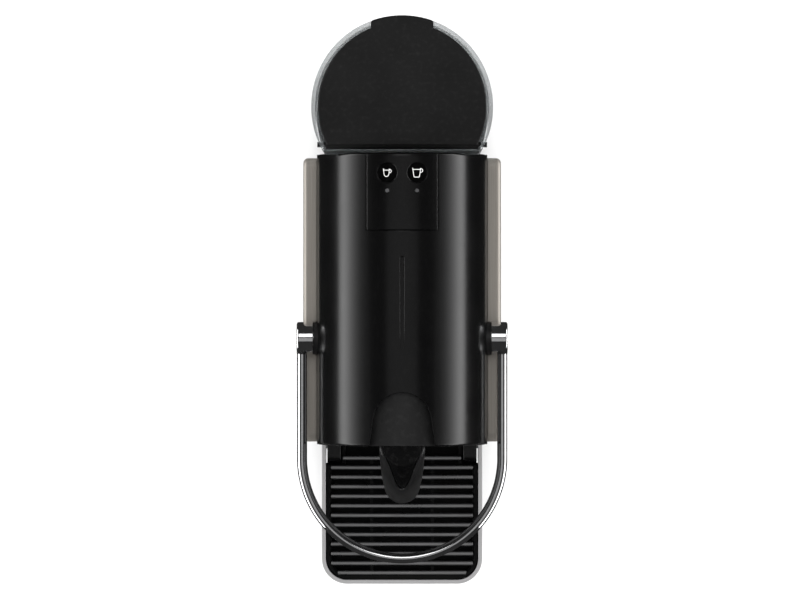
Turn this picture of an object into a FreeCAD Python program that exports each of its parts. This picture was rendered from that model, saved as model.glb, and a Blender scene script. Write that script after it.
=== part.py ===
import FreeCAD, Part
import math
import os

V = FreeCAD.Vector

# Every length is in millimetres. X is right, Y is back, Z is up.
# The origin is the middle of the footprint, on the table.
total_depth = 326.0
total_height = 235.0

# Clearances
fit_gap = 0.3
seam_gap = 0.35
running_gap = 0.06

# Barrel vaulted shell on two upright side frames
vault_radius = 47.9
shell_wall = 2.5
shell_front = -76.4
shell_rear = 86.5
shell_edge_round = 1.6
frame_thickness = 2.8
lip_height = 5.0
lip_thickness = 1.6

# Base, feet and the stand under the water tank
foot_height = 3.0
foot_radius = 7.0
foot_x = 34.0
foot_front_y = -60.0
foot_rear_y = 134.0
base_top = 10.0
base_skin = 2.5
stand_top = 62.0

# Side panels: a drawn metal skin over a moulded carrier
panel_outer = 55.8
panel_skin = 1.0
panel_front = -75.2
panel_rear = 84.9
panel_drop = 6.1
panel_bottom = 8.0
panel_corner = 5.0
panel_edge_round = 2.8
carrier_wall = 2.2
clip_size = 8.0

# Bail lever and its pivots
lever_y = -16.9
lever_drop = 1.1
lever_arm_x = 56.35
lever_rod_radius = 2.85
lever_bow_y = -84.4
hub_radius = 9.3
hub_inner = 50.2
hub_outer = 59.3
hub_edge_round = 1.2
bush_radius = 9.0
bush_flange = 11.5
bush_flange_thickness = 2.0
shaft_radius = 4.0
hub_notch_gap = 1.3

# Gear pair that turns the lever's swing into the carriage's slide
tooth_module = 1.5
sector_teeth = 26
pressure_angle = 20.0
tooth_backlash = 0.3
gear_inner = 31.0
gear_width = 5.0
spare_teeth = 2
lever_swing = 90.0

# Brew carriage, capsule cage and the wall the capsule is pressed against
cage_radius = 21.0
cage_bore = 15.6
cage_mouth = 18.8
cage_depth = 28.0
extraction_thickness = 2.2
cage_gap = 0.4
carriage_plate = 8.0
carriage_half_width = 26.5
bridge_rise = 3.5
bridge_thickness = 3.0
brew_wall_inner = 27.0
brew_wall_thickness = 3.0
brew_wall_lift = 8.0
brew_wall_rise = 16.0
rail_height = 4.0
blade_count = 3
blade_circle = 9.0

# Capsule opening in the vault and the shutter that slides under it
slot_back = -46.6
slot_arc = 16.2
slot_flare = 8.0
shutter_gap = 0.3
shutter_thickness = 2.0
shutter_half_width = 21.5

# Front wall, drawer front and coffee spout
fascia_thickness = 2.2
fascia_front = -76.2
drawer_top = 104.0
spout_drop = 13.0
spout_height = 76.0
spout_root_half = 12.85
spout_tip_half = 10.3
spout_tip = -111.4
insert_root_half = 10.5
insert_tip = -103.6
insert_slender = 1.9
hood_slender = 1.05
hood_edge_round = 1.8
insert_height = 50.0
outlet_radius = 4.0
outlet_spread = 9.0

# Control plate in the vault, buttons and lamps
plate_half_width = 20.0
plate_front = 43.3
ledge_width = 3.0
ledge_thickness = 1.8
button_radius = 5.3
button_x = 8.3
button_y = 75.3
button_proud = 0.0
button_travel = 1.2
lamp_radius = 1.0
lamp_y = 65.4
board_drop = 20.0
board_thickness = 1.6

# Tapered thumb groove along the crown
groove_width = 2.3
groove_rear = 28.8
groove_front = -31.7
groove_depth = 1.4

# Water tank and lid
tank_radius = 50.6
tank_flat = 88.3
tank_drop = 13.0
tank_set = 24.1
tank_wall = 2.2
tank_floor = 2.6
tank_corner = 3.0
lid_inset = 3.7
lid_rise = 2.0
lid_thickness = 2.6
lid_tab_half = 17.4
hinge_set = 2.9
hinge_drop = 2.2
hinge_barrel = 2.6
hinge_pin = 1.5
hinge_pin_proud = 1.26
hinge_bay_inset = 1.29
valve_radius = 8.6
valve_drop = 12.0
probe_radius = 2.2

# Capsule drawer
drawer_half_width = 43.4
drawer_back = 8.0
drawer_wall = 2.0
runner_height = 2.0

# Folding drip tray
tray_half_width = 47.4
tray_top = 44.0
tray_bottom = 22.0
tray_corner = 14.8
tray_rim = 2.2
tray_wall = 1.8
tray_hinge_y = -81.5
tray_hinge_z = 40.0
tray_pin = 1.6
lug_inner = 36.3
lug_outer = 44.0
lug_front = -91.0
rib_count = 13
rib_front_inset = 6.38
rib_first = -88.7
rib_half = 42.0
rib_first_half = 35.0
rib_width = 2.8
rib_height = 3.4
rib_drop = 0.6

# Inner pieces
board_hole_radius = 1.6
post_x = 14.2
post_rows = (53.0, 66.0)
clip_reach = 1.2
hose_radius = 3.0
hose_bore = 1.8
heater_x = -19.0
heater_drop = 56.0
heater_front = 24.0
heater_length = 46.0
heater_radius = 21.0
heater_port_offset = 10.0
fin_start = 6.0
fin_pitch = 10.0
fin_groove = 4.0
fin_depth = 3.0
nozzle_radius = 2.6
nozzle_length = 6.0
pump_x = 20.0
pump_z = 46.0
pump_front = 30.0
pump_length = 36.0
pump_half_width = 19.0
pump_half_height = 18.0
pump_barrel_radius = 8.0
pump_barrel_front = 6.0
pump_barrel_rear = 4.0
pump_nose = 3.0
pump_tail = 4.0
mount_half = 12.0
mount_length = 10.0
mount_inset = 7.0
meter_x = -22.0
meter_y = 52.0
meter_radius = 15.0
meter_height = 24.0
meter_cap_radius = 11.0
meter_cap_height = 4.0
meter_port_z = 26.0
meter_port_end = 74.0
low_port_z = 30.0
low_port_radius = 7.0
cord_sleeve = 6.0
cord_collar = 8.0
hose_row_y = 80.0
hose_over = 32.0
hose_front_y = 14.0
socket_radius = 12.4
vent_count = 5
vent_pitch = 8.0
vent_height = 3.0
vent_half = 16.0
vent_drop = 66.0
clip_low = 26.0
clip_high = 33.0
clip_inset = 22.0
main_board_front = 76.0
main_board_half = 32.0
main_board_height = 80.0
main_board_rise = 6.0
transformer_x = (-26.0, -4.0)
transformer_depth = 18.0
transformer_z = (28.0, 6.0)
relay_x = (4.0, 20.0)
relay_depth = 14.0
relay_z = (32.0, 4.0)
capacitor_x = 24.0
capacitor_radius = 5.0
capacitor_rise = (8.0, 20.0)
standoff_radius = 2.4
standoff_inset = 3.0
cord_bore = 3.4
screw_radius = 1.5
screw_head = 3.0

# Derived positions
tank_y = tank_flat + tank_set
tank_back = tank_y + tank_radius
tray_front = tank_back - total_depth
rib_pitch = (rib_first - tray_front - rib_front_inset) / (rib_count - 1)
vault_z = total_height - vault_radius
lever_z = vault_z - lever_drop
panel_top = vault_z - panel_drop
spout_top = total_height - spout_drop
spout_bottom = spout_top - spout_height
insert_bottom = spout_top - insert_height
board_top = total_height - board_drop
tank_rim = total_height - tank_drop
lid_top = tank_rim + lid_rise
lid_radius = tank_radius - lid_inset
hinge_y = tank_flat + hinge_set
hinge_pin_end = math.sqrt(tank_radius ** 2 - (tank_y - hinge_y) ** 2) + hinge_pin_proud
hinge_bay_half = math.sqrt(tank_radius ** 2 - tank_set ** 2) - hinge_bay_inset
brew_wall_bottom = drawer_top + brew_wall_lift
brew_wall_top = lever_z + brew_wall_rise
heater_z = lever_z - heater_drop
heater_rear = heater_front + heater_length
main_board_top = lever_z + main_board_rise
main_board_bottom = main_board_top - main_board_height
vault_inner = vault_radius - shell_wall
frame_inner = vault_radius - frame_thickness
fascia_rear = fascia_front + fascia_thickness
pitch_radius = tooth_module * sector_teeth / 2
rack_z = lever_z + pitch_radius
bridge_bottom = rack_z + bridge_rise
carriage_stroke = pitch_radius * math.radians(lever_swing)
shutter_outer = vault_inner - shutter_gap
shutter_inner = shutter_outer - shutter_thickness
extraction_rear = fascia_rear + extraction_thickness
cage_front = extraction_rear + cage_gap
cage_back = cage_front + cage_depth
feed_z = lever_z - cage_mouth + 1.0
hinge_axis_z = tank_rim - hinge_drop
carriage_back = cage_back + carriage_plate
tank_bottom = stand_top + fit_gap
socket_bottom = stand_top - valve_drop - 6.0
drawer_bottom = base_top + runner_height + fit_gap
drawer_front = fascia_front


def block(x, y, z):
    return Part.makeBox(x[1] - x[0], y[1] - y[0], z[1] - z[0], V(x[0], y[0], z[0]))


def rod(start, end, radius):
    a = V(*start)
    b = V(*end)
    return Part.makeCylinder(radius, (b - a).Length, a, b - a)


def ring(start, end, outer, inner):
    return rod(start, end, outer).cut(rod(start, end, inner))


def outline(points):
    return Part.Face(Part.makePolygon([V(*p) for p in points + points[:1]]))


def join(shapes):
    body = shapes[0]
    for shape in shapes[1:]:
        body = body.fuse(shape)
    return body.removeSplitter()


def mirrored(shape):
    return shape.mirror(V(0, 0, 0), V(1, 0, 0))


def both_sides(shape):
    return [shape, mirrored(shape)]


def span(edge, axis):
    box = edge.BoundBox
    size = (box.XLength, box.YLength, box.ZLength)
    return size[axis] > 0.01 and max(size[i] for i in range(3) if i != axis) < 0.01


def rounded(shape, radius, wanted):
    edges = [e for e in shape.Edges if wanted(e)]
    return shape.makeFillet(radius, edges)


def vault(radius, y, foot):
    left = V(-radius, y[0], vault_z)
    crown = V(0, y[0], vault_z + radius)
    right = V(radius, y[0], vault_z)
    edges = [Part.Arc(left, crown, right).toShape()]
    path = [right]
    if foot < vault_z:
        path += [V(radius, y[0], foot), V(-radius, y[0], foot)]
    path += [left]
    edges += Part.makePolygon(path).Edges
    return Part.Face(Part.Wire(edges)).extrude(V(0, y[1] - y[0], 0))


def d_solid(radius, flat, z, corner):
    disc = rod((0, tank_y, z[0]), (0, tank_y, z[1]), radius)
    half = block((-radius, radius), (flat, tank_y + radius + 1), z)
    body = disc.common(half)
    if corner <= 0:
        return body
    return rounded(body, corner, lambda e: span(e, 2) and e.BoundBox.YMax < flat + 0.01)


def hose(points, bend):
    corners = [V(*p) for p in points]
    edges = []
    start = corners[0]
    for i in range(1, len(corners) - 1):
        into = (corners[i] - corners[i - 1]).normalize()
        out = (corners[i + 1] - corners[i]).normalize()
        half_turn = into.getAngle(out) / 2
        reach = bend * math.tan(half_turn)
        a = corners[i] - into * reach
        b = corners[i] + out * reach
        inward = (out - into).normalize()
        apex = corners[i] + inward * (bend / math.cos(half_turn) - bend)
        edges.append(Part.makeLine(start, a))
        edges.append(Part.Arc(a, apex, b).toShape())
        start = b
    edges.append(Part.makeLine(start, corners[-1]))
    way = Part.Wire(edges)
    heading = corners[1] - corners[0]
    tubes = []
    for radius in (hose_radius, hose_bore):
        circle = Part.Wire([Part.makeCircle(radius, corners[0], heading)])
        tubes.append(way.makePipeShell([circle], True, False))
    return tubes[0].cut(tubes[1])


def feet():
    pads = []
    for x in (-foot_x, foot_x):
        for y in (foot_front_y, foot_rear_y):
            pad = rod((x, y, 0), (x, y, foot_height), foot_radius)
            pads.append(rounded(pad, 0.8, lambda e: e.BoundBox.ZMax < 0.01))
    return pads


def base_plate():
    z = (foot_height, base_top)
    front = shell_front + 3.0
    plate = block((-vault_radius, vault_radius), (front, shell_rear), z)
    tail = d_solid(tank_radius - 1.0, shell_rear - 1.0, z, 0)
    body = plate.fuse(tail).removeSplitter()
    hollow_z = (foot_height, base_top - base_skin)
    inner = vault_radius - 3.0
    pockets = []
    for y in ((front + 3.0, -22.0), (-19.0, 32.0), (35.0, shell_rear - 3.0)):
        pockets.append(block((-inner, inner), y, hollow_z))
    pockets.append(d_solid(tank_radius - 4.0, shell_rear, hollow_z, 0))
    for pocket in pockets:
        body = body.cut(pocket)
    for x in (-foot_x, foot_x):
        for y in (foot_front_y, foot_rear_y):
            body = body.fuse(rod((x, y, z[0]), (x, y, z[1]), foot_radius + 1.5))
    for x in (-30.0, 26.0):
        runner_z = (base_top, base_top + runner_height)
        body = body.fuse(block((x, x + 4.0), (front, drawer_back), runner_z))
    return body.removeSplitter()


def tank_stand():
    z = (base_top, stand_top)
    outer = d_solid(tank_radius - 0.6, shell_rear, z, tank_corner)
    inner_z = (base_top, stand_top - 3.0)
    inner = d_solid(tank_radius - 3.1, shell_rear + base_skin, inner_z, 0)
    body = outer.cut(inner)
    body = body.cut(rod((0, tank_y, stand_top - 9), (0, tank_y, stand_top + 1),
                        socket_radius + 0.2))
    hose_port = rod((0, shell_rear - 1, low_port_z), (0, shell_rear + 5, low_port_z),
                    low_port_radius)
    cord_port = rod((0, tank_back - 9, low_port_z), (0, tank_back + 1, low_port_z),
                    cord_sleeve + 0.1)
    return body.cut(hose_port).cut(cord_port)


def tank_socket():
    top = stand_top
    cup = rod((0, tank_y, socket_bottom), (0, tank_y, top), socket_radius)
    well = rod((0, tank_y, socket_bottom + 3.0), (0, tank_y, top + 1), valve_radius + 0.7)
    probe = ring((0, tank_y, socket_bottom), (0, tank_y, top - valve_drop + 3.0),
                 probe_radius, 1.2)
    nipple = ring((0, tank_y, socket_bottom - 8.0), (0, tank_y, socket_bottom), hose_bore, 1.2)
    drain = rod((0, tank_y, socket_bottom - 1), (0, tank_y, socket_bottom + 4.0), 1.2)
    return join([cup.cut(well).cut(drain), probe, nipple])


def socket_seal():
    low = top_of_seal() - 2.4
    return ring((0, tank_y, low), (0, tank_y, top_of_seal()),
                valve_radius + 0.7, valve_radius + running_gap)


def top_of_seal():
    return stand_top - 1.6


def cord_gland():
    wall_y = tank_y + tank_radius - 0.6
    z = low_port_z
    sleeve = rod((0, wall_y - 6.0, z), (0, wall_y + 0.6, z), cord_sleeve)
    collar = rod((0, wall_y - 6.0, z), (0, wall_y - 3.4, z), cord_collar)
    passage = rod((0, wall_y - 9.0, z), (0, wall_y + 3.0, z), cord_bore)
    return sleeve.fuse(collar).cut(passage)


def pivot_hole(radius, x):
    return rod((x[0], lever_y, lever_z), (x[1], lever_y, lever_z), radius)


def clip_places():
    places = []
    for y in (panel_front + clip_inset, panel_rear - clip_inset):
        for z in (panel_bottom + clip_low, panel_top - clip_high):
            places.append((y, z))
    return places


def side_frame():
    plate = block((frame_inner, vault_radius), (shell_front, shell_rear), (base_top, vault_z))
    plate = plate.cut(pivot_hole(bush_radius + 0.15, (frame_inner - 1, vault_radius + 1)))
    half = clip_size / 2 + fit_gap
    for y, z in clip_places():
        window = block((frame_inner - 1, vault_radius + 1), (y - half, y + half),
                       (z - half / 2, z + half / 2))
        plate = plate.cut(window)
    return plate


def panel_solid(inset, x):
    y = (panel_front + inset, panel_rear - inset)
    z = (panel_bottom + inset, panel_top - inset)
    body = block(x, y, z)
    body = rounded(body, panel_corner - inset, lambda e: span(e, 0))
    return rounded(body, panel_edge_round - inset,
                   lambda e: e.BoundBox.XMin > x[1] - 0.01)


def side_panel():
    outer = panel_solid(0, (vault_radius + fit_gap, panel_outer))
    inner = panel_solid(panel_skin, (vault_radius - 1, panel_outer - panel_skin))
    notch = pivot_hole(hub_radius + hub_notch_gap, (vault_radius - 1, panel_outer + 1))
    return outer.cut(inner).cut(notch)


def panel_carrier():
    inset = panel_skin + fit_gap
    face = panel_outer - inset
    body = panel_solid(inset, (vault_radius, face))
    z_low = panel_bottom + inset + carrier_wall
    z_high = panel_top - inset - 12.0
    y_low = panel_front + inset + carrier_wall
    y_high = panel_rear - inset - carrier_wall
    rows = 3
    columns = 4
    row_step = (z_high - z_low + carrier_wall) / rows
    column_step = (y_high - y_low + carrier_wall) / columns
    for row in range(rows):
        for column in range(columns):
            z = z_low + row * row_step
            y = y_low + column * column_step
            cell = block((vault_radius - 1, face - carrier_wall),
                         (y, y + column_step - carrier_wall), (z, z + row_step - carrier_wall))
            body = body.cut(cell)
    for y, z in clip_places():
        pad = block((vault_radius, face), (y - clip_size, y + clip_size), (z - 5, z + 5))
        half = clip_size / 2
        tongue = block((frame_inner - clip_reach, vault_radius), (y - half, y + half),
                       (z - half / 2, z + half / 2))
        body = body.fuse(pad).fuse(tongue)
    body = body.removeSplitter()
    return body.cut(pivot_hole(hub_radius + hub_notch_gap, (vault_radius - 5, panel_outer)))


def slot_prism():
    lean = math.radians(slot_flare)
    centre_y = slot_back - slot_arc
    touch_x = slot_arc * math.cos(lean)
    touch_y = centre_y + slot_arc * math.sin(lean)
    front_y = shell_front - 4.0
    front_x = touch_x + (touch_y - front_y) * math.tan(lean)
    low = lever_z
    left = V(-touch_x, touch_y, low)
    right = V(touch_x, touch_y, low)
    edges = [Part.Arc(left, V(0, slot_back, low), right).toShape()]
    edges += Part.makePolygon([right, V(front_x, front_y, low), V(-front_x, front_y, low),
                               left]).Edges
    return Part.Face(Part.Wire(edges)).extrude(V(0, 0, total_height))


def vault_ring():
    y = (shell_front, shell_rear)
    solid = vault(vault_radius, y, vault_z)
    solid = rounded(solid, shell_edge_round,
                    lambda e: e.Curve.TypeId == "Part::GeomCircle" and abs(e.Length) > 100)
    return solid.cut(vault(vault_inner, (y[0] - 1, y[1] + 1), vault_z - 1))


def groove_wedge():
    crown = total_height
    points = [(-groove_width / 2, groove_rear, crown + 0.2),
              (-groove_width / 2, groove_rear, crown - groove_depth),
              (-groove_width / 2, groove_front, crown + 0.2)]
    return outline(points).extrude(V(groove_width, 0, 0))


def outer_shell():
    body = vault_ring()
    opening = block((-plate_half_width, plate_half_width), (plate_front, shell_rear + 1),
                    (vault_z + vault_inner / 2, total_height + 1))
    body = body.cut(opening).cut(slot_prism()).cut(groove_wedge())
    ledge = vault(vault_inner, (plate_front - ledge_width, shell_rear), vault_z)
    ledge = ledge.cut(vault(vault_inner - ledge_thickness,
                            (plate_front - ledge_width - 1, shell_rear + 1), vault_z - 1))
    reach = plate_half_width + ledge_width
    ledge = ledge.common(block((-reach, reach), (plate_front - ledge_width, shell_rear),
                               (vault_z, total_height)))
    window = plate_half_width - ledge_width
    ledge = ledge.cut(block((-window, window), (plate_front + ledge_width, shell_rear + 1),
                            (vault_z, total_height)))
    lip = block((frame_inner - fit_gap - lip_thickness, frame_inner - fit_gap),
                (shell_front + 6.0, shell_rear - 6.0), (vault_z - lip_height, vault_z + 12.0))
    lip = lip.common(vault(vault_inner + 0.2, (shell_front, shell_rear), base_top))
    body = body.fuse(ledge)
    for strip in both_sides(lip):
        body = body.fuse(strip)
    body = body.removeSplitter()
    for sign in (1, -1):
        reach_x = (sign * (frame_inner - 5), sign * (vault_radius + 1))
        body = body.cut(pivot_hole(bush_radius + 0.15, reach_x))
        lip_x = (sign * (frame_inner - 6), sign * (frame_inner + 0.05))
        body = body.cut(pivot_hole(bush_flange + 0.4, lip_x))
    return body


def board_posts():
    return [(x, y) for x in (-post_x, post_x) for y in post_rows]


def control_plate():
    y = (plate_front + seam_gap, shell_rear)
    half = plate_half_width - seam_gap
    body = vault_ring().common(block((-half, half), y, (vault_z, total_height + 1)))
    filled = vault(vault_inner + 0.5, (shell_front, shell_rear), vault_z)
    for x, post_y in board_posts():
        post = rod((x, post_y, board_top), (x, post_y, total_height), 2.2)
        body = body.fuse(post.common(filled))
    for x in (-button_x, button_x):
        body = body.cut(rod((x, button_y, board_top), (x, button_y, total_height + 1),
                            button_radius + 0.25))
        body = body.cut(rod((x, lamp_y, board_top), (x, lamp_y, total_height + 1),
                            lamp_radius + 0.05))
    return body.removeSplitter()


def flange_top():
    far = button_x + button_radius + 1.4
    return vault_z + math.sqrt(vault_inner ** 2 - far ** 2) - 0.5


def button(x):
    top = flange_top()
    cap = rod((x, button_y, top - 0.5), (x, button_y, total_height + 2), button_radius)
    cap = cap.common(vault(vault_radius + button_proud, (shell_front, shell_rear), vault_z))
    flange = rod((x, button_y, top - 1.6), (x, button_y, top), button_radius + 1.2)
    stem = rod((x, button_y, top - 6.0), (x, button_y, top - 1.6), 1.8)
    return join([cap, flange, stem])


def lamps():
    filled = vault(vault_radius, (shell_front, shell_rear), vault_z)
    pipes = []
    for x in (-button_x, button_x):
        pipe = rod((x, lamp_y, board_top + 1.2), (x, lamp_y, total_height + 1), lamp_radius)
        pipes.append(pipe.common(filled))
    return pipes


def button_board():
    low = board_top - board_thickness
    body = block((-18.0, 18.0), (49.0, 82.0), (low, board_top))
    plunger_top = flange_top() - 6.0 - button_travel - fit_gap
    for x in (-button_x, button_x):
        case = block((x - 3, x + 3), (button_y - 3, button_y + 3), (board_top, board_top + 3.4))
        body = body.fuse(case)
        body = body.fuse(rod((x, button_y, board_top), (x, button_y, plunger_top), 1.6))
        chip = block((x - 1.5, x + 1.5), (lamp_y - 1.0, lamp_y + 1.0),
                     (board_top, board_top + 0.9))
        body = body.fuse(chip)
    for x, y in board_posts():
        body = body.cut(rod((x, y, low - 1), (x, y, board_top + 1), board_hole_radius))
    return body.removeSplitter()


def pivot_bush():
    x = (frame_inner - bush_flange_thickness, hub_inner - fit_gap)
    sleeve = pivot_hole(bush_radius, x)
    flange = pivot_hole(bush_flange, (x[0], frame_inner))
    return sleeve.fuse(flange).cut(pivot_hole(shaft_radius + running_gap, (x[0] - 1, x[1] + 1)))


def fascia():
    y = (fascia_front, fascia_rear)
    body = vault(vault_inner - fit_gap, y, drawer_top + fit_gap)
    under_door = vault(shutter_inner - fit_gap, (y[0] - 1, y[1] + 1), drawer_top)
    strip_half = shutter_half_width + 1.0
    strip = block((-strip_half, strip_half), (y[0] - 1, y[1] + 1),
                  (lever_z, total_height + 1))
    body = body.cut(strip.cut(under_door))
    for side in both_sides(block((frame_inner - fit_gap, vault_radius), (y[0] - 1, y[1] + 1),
                                 (base_top, vault_z))):
        body = body.cut(side)
    return body.cut(rod((0, y[0] - 1, feed_z), (0, y[1] + 1, feed_z), outlet_radius))


def extraction_plate():
    y = (fascia_rear, extraction_rear)
    disc = rod((0, y[0], lever_z), (0, y[1], lever_z), cage_mouth)
    body = disc.cut(rod((0, y[0] - 1, lever_z), (0, y[0] + 0.8, lever_z), cage_mouth - 3.0))
    pitch = 4.0
    reach = 3
    for i in range(-reach, reach + 1):
        for j in range(-reach, reach + 1):
            x = i * pitch
            z = lever_z + j * pitch
            if math.hypot(x, z - lever_z) < cage_bore - 2.5:
                hole = block((x + 1.6, x + 2.4), (y[0] - 1, y[1] + 1), (z + 1.6, z + 2.4))
                body = body.cut(hole)
    return body


def extraction_seal():
    y = (extraction_rear, cage_front - 0.05)
    return ring((0, y[0], lever_z), (0, y[1], lever_z), cage_radius - 0.4, cage_mouth + 0.5)


def tongue(half, front, root, z, slender):
    shoulder = min(root - 0.5, front + half * slender)
    left = V(-half, shoulder, z)
    right = V(half, shoulder, z)
    nose = Part.BSplineCurve()
    bow = shoulder - front
    points = []
    for k in range(9):
        a = math.pi * k / 8
        points.append(V(half * math.cos(a), shoulder - bow * math.sin(a), z))
    nose.interpolate(points)
    edges = [nose.toShape()]
    edges += Part.makePolygon([left, V(-half, root, z), V(half, root, z), right]).Edges
    return Part.Wire(edges)


def hood_sections(inset):
    root = fascia_front - fit_gap
    reach = spout_tip - fascia_front
    shares = ((0.0, 0.26, 1.0), (0.18, 0.56, 0.97), (0.42, 0.76, 0.92), (0.68, 0.89, 0.86),
              (0.88, 0.97, 0.81), (1.0, 1.0, spout_tip_half / spout_root_half))
    wires = []
    for down, out, wide in shares:
        z = spout_top - down * (spout_top - spout_bottom)
        front = fascia_front + out * reach + inset
        wires.append(tongue(spout_root_half * wide - inset, front, root, z, hood_slender))
    return wires


def insert_sections(grow):
    root = fascia_front - fit_gap
    reach = insert_tip - fascia_front
    shares = ((0.0, 0.42, 1.0), (0.35, 0.80, 0.86), (0.7, 0.95, 0.66), (1.0, 1.0, 0.50))
    wires = []
    for down, out, wide in shares:
        z = spout_top + 0.6 - down * (spout_top - insert_bottom)
        front = fascia_front + out * reach - grow
        wires.append(tongue(insert_root_half * wide + grow, front, root + grow, z,
                            insert_slender))
    return wires


def spout_hood():
    body = Part.makeLoft(hood_sections(0), True, False)
    body = rounded(body, hood_edge_round, lambda e: e.BoundBox.ZMin > spout_top - 0.01
                   and e.BoundBox.YMin < fascia_front - fit_gap - 0.01)
    pocket = Part.makeLoft(insert_sections(seam_gap), True, False)
    floor = insert_bottom + 0.6
    slab = block((-30, 30), (spout_tip - 5, 0), (floor, spout_top + 30))
    body = body.cut(pocket.common(slab))
    outlet_y = spout_tip + 15.0
    for x in (-outlet_spread / 2, outlet_spread / 2):
        body = body.cut(rod((x, outlet_y, spout_bottom - 1), (x, outlet_y, spout_bottom + 18),
                            outlet_radius))
    feed = rod((0, fascia_front + 1, feed_z), (0, outlet_y, spout_bottom + 10),
               outlet_radius)
    return body.cut(feed)


def spout_insert():
    return Part.makeLoft(insert_sections(0), True, False)


def lever_bail():
    start = lever_y - 6.0
    right = V(lever_arm_x, lever_bow_y, lever_z)
    left = V(-lever_arm_x, lever_bow_y, lever_z)
    bow = V(0, lever_bow_y - lever_arm_x, lever_z)
    way = Part.Wire([Part.makeLine(V(lever_arm_x, start, lever_z), right),
                     Part.Arc(right, bow, left).toShape(),
                     Part.makeLine(left, V(-lever_arm_x, start, lever_z))])
    circle = Part.makeCircle(lever_rod_radius, V(lever_arm_x, start, lever_z), V(0, 1, 0))
    return way.makePipeShell([Part.Wire([circle])], True, False)


def lever_hub():
    hub = pivot_hole(hub_radius, (hub_inner, hub_outer))
    hub = rounded(hub, hub_edge_round, lambda e: e.BoundBox.XMin > hub_outer - 0.01)
    shaft = pivot_hole(shaft_radius, (brew_wall_inner + 0.6, hub_inner))
    socket = rod((lever_arm_x, lever_y - 6.0, lever_z), (lever_arm_x, lever_y - 14.0, lever_z),
                 lever_rod_radius)
    flat = block((gear_inner - 1, gear_inner + gear_width + 1), (lever_y - 9, lever_y + 9),
                 (lever_z - 9, lever_z - shaft_radius + 1.0))
    return hub.cut(socket).fuse(shaft.cut(flat))


def flank(step):
    base = pitch_radius * math.cos(math.radians(pressure_angle))
    tip = pitch_radius + tooth_module
    low = math.acos(min(1.0, base / max(base, pitch_radius - tooth_module)))
    high = math.acos(base / tip)
    roll = low + (high - low) * step
    radius = base / math.cos(roll)
    spread = math.tan(roll) - roll
    return radius, spread


def tooth_profile(centre):
    at_pitch = math.radians(pressure_angle)
    pitch_spread = math.tan(at_pitch) - at_pitch
    half = math.pi / (2 * sector_teeth) - tooth_backlash / (4 * pitch_radius)
    root = pitch_radius - 1.25 * tooth_module
    steps = [k / 4 for k in range(5)]
    right = []
    for step in steps:
        radius, spread = flank(step)
        right.append((radius, half + pitch_spread - spread))
    right = [(root - 0.4, right[0][1])] + right
    polar = [(r, centre - a) for r, a in right] + [(r, centre + a) for r, a in reversed(right)]
    x = gear_inner
    return [(x, lever_y + r * math.cos(a), lever_z + r * math.sin(a)) for r, a in polar]


def sector_gear():
    root = pitch_radius - 1.25 * tooth_module
    step = 2 * math.pi / sector_teeth
    quarter = int(round(lever_swing / 360 * sector_teeth))
    first = -spare_teeth
    last = quarter + spare_teeth
    up = math.pi / 2
    start = up + (first - 0.5) * step
    end = up + (last + 0.5) * step
    points = [(gear_inner, lever_y, lever_z)]
    for k in range(17):
        a = start + (end - start) * k / 16
        points.append((gear_inner, lever_y + root * math.cos(a), lever_z + root * math.sin(a)))
    body = outline(points).extrude(V(gear_width, 0, 0))
    for i in range(first, last + 1):
        body = body.fuse(outline(tooth_profile(up + i * step)).extrude(V(gear_width, 0, 0)))
    boss = pivot_hole(shaft_radius + 3.5, (gear_inner, gear_inner + gear_width))
    body = body.fuse(boss)
    bore = pivot_hole(shaft_radius + 0.02, (gear_inner - 1, gear_inner + gear_width + 1))
    flat_z = lever_z - shaft_radius + 1.0 - 0.02
    keep = block((gear_inner - 2, gear_inner + gear_width + 2), (lever_y - 9, lever_y + 9),
                 (flat_z - 9, flat_z))
    return body.cut(bore.cut(keep)).removeSplitter()


def rack():
    lean = math.tan(math.radians(pressure_angle))
    pitch = math.pi * tooth_module
    quarter = int(math.ceil(carriage_stroke / pitch))
    first = -(quarter + spare_teeth)
    last = spare_teeth
    tip = rack_z - tooth_module
    root = rack_z + 1.25 * tooth_module
    half = pitch / 4 - tooth_backlash / 4
    x = gear_inner
    low = lever_y + (first - 0.5) * pitch
    high = lever_y + (last + 0.5) * pitch
    body = block((x, x + gear_width), (low, high), (root, bridge_bottom + bridge_thickness))
    for i in range(first, last):
        centre = lever_y + (i + 0.5) * pitch
        at_tip = half - tooth_module * lean
        at_root = half + 1.25 * tooth_module * lean
        points = [(x, centre - at_tip, tip), (x, centre + at_tip, tip),
                  (x, centre + at_root, root + 0.4), (x, centre - at_root, root + 0.4)]
        body = body.fuse(outline(points).extrude(V(gear_width, 0, 0)))
    return body.removeSplitter()


def carriage():
    y = (cage_back, carriage_back)
    plate = block((-carriage_half_width, carriage_half_width), y,
                  (lever_z - cage_radius + 2.0, bridge_bottom))
    bridge = block((-gear_inner, gear_inner), (cage_back - 6.0, carriage_back + 8.0),
                   (bridge_bottom, bridge_bottom + bridge_thickness))
    shoe = block((-carriage_half_width, carriage_half_width), (y[0], y[1] + 10.0),
                 (lever_z - cage_radius + 2.0, lever_z - cage_radius + 6.0))
    feed = rod((0, y[0] - 1, lever_z), (0, y[1] + 12, lever_z), 6.0)
    return join([plate, bridge, shoe]).cut(feed)


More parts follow.
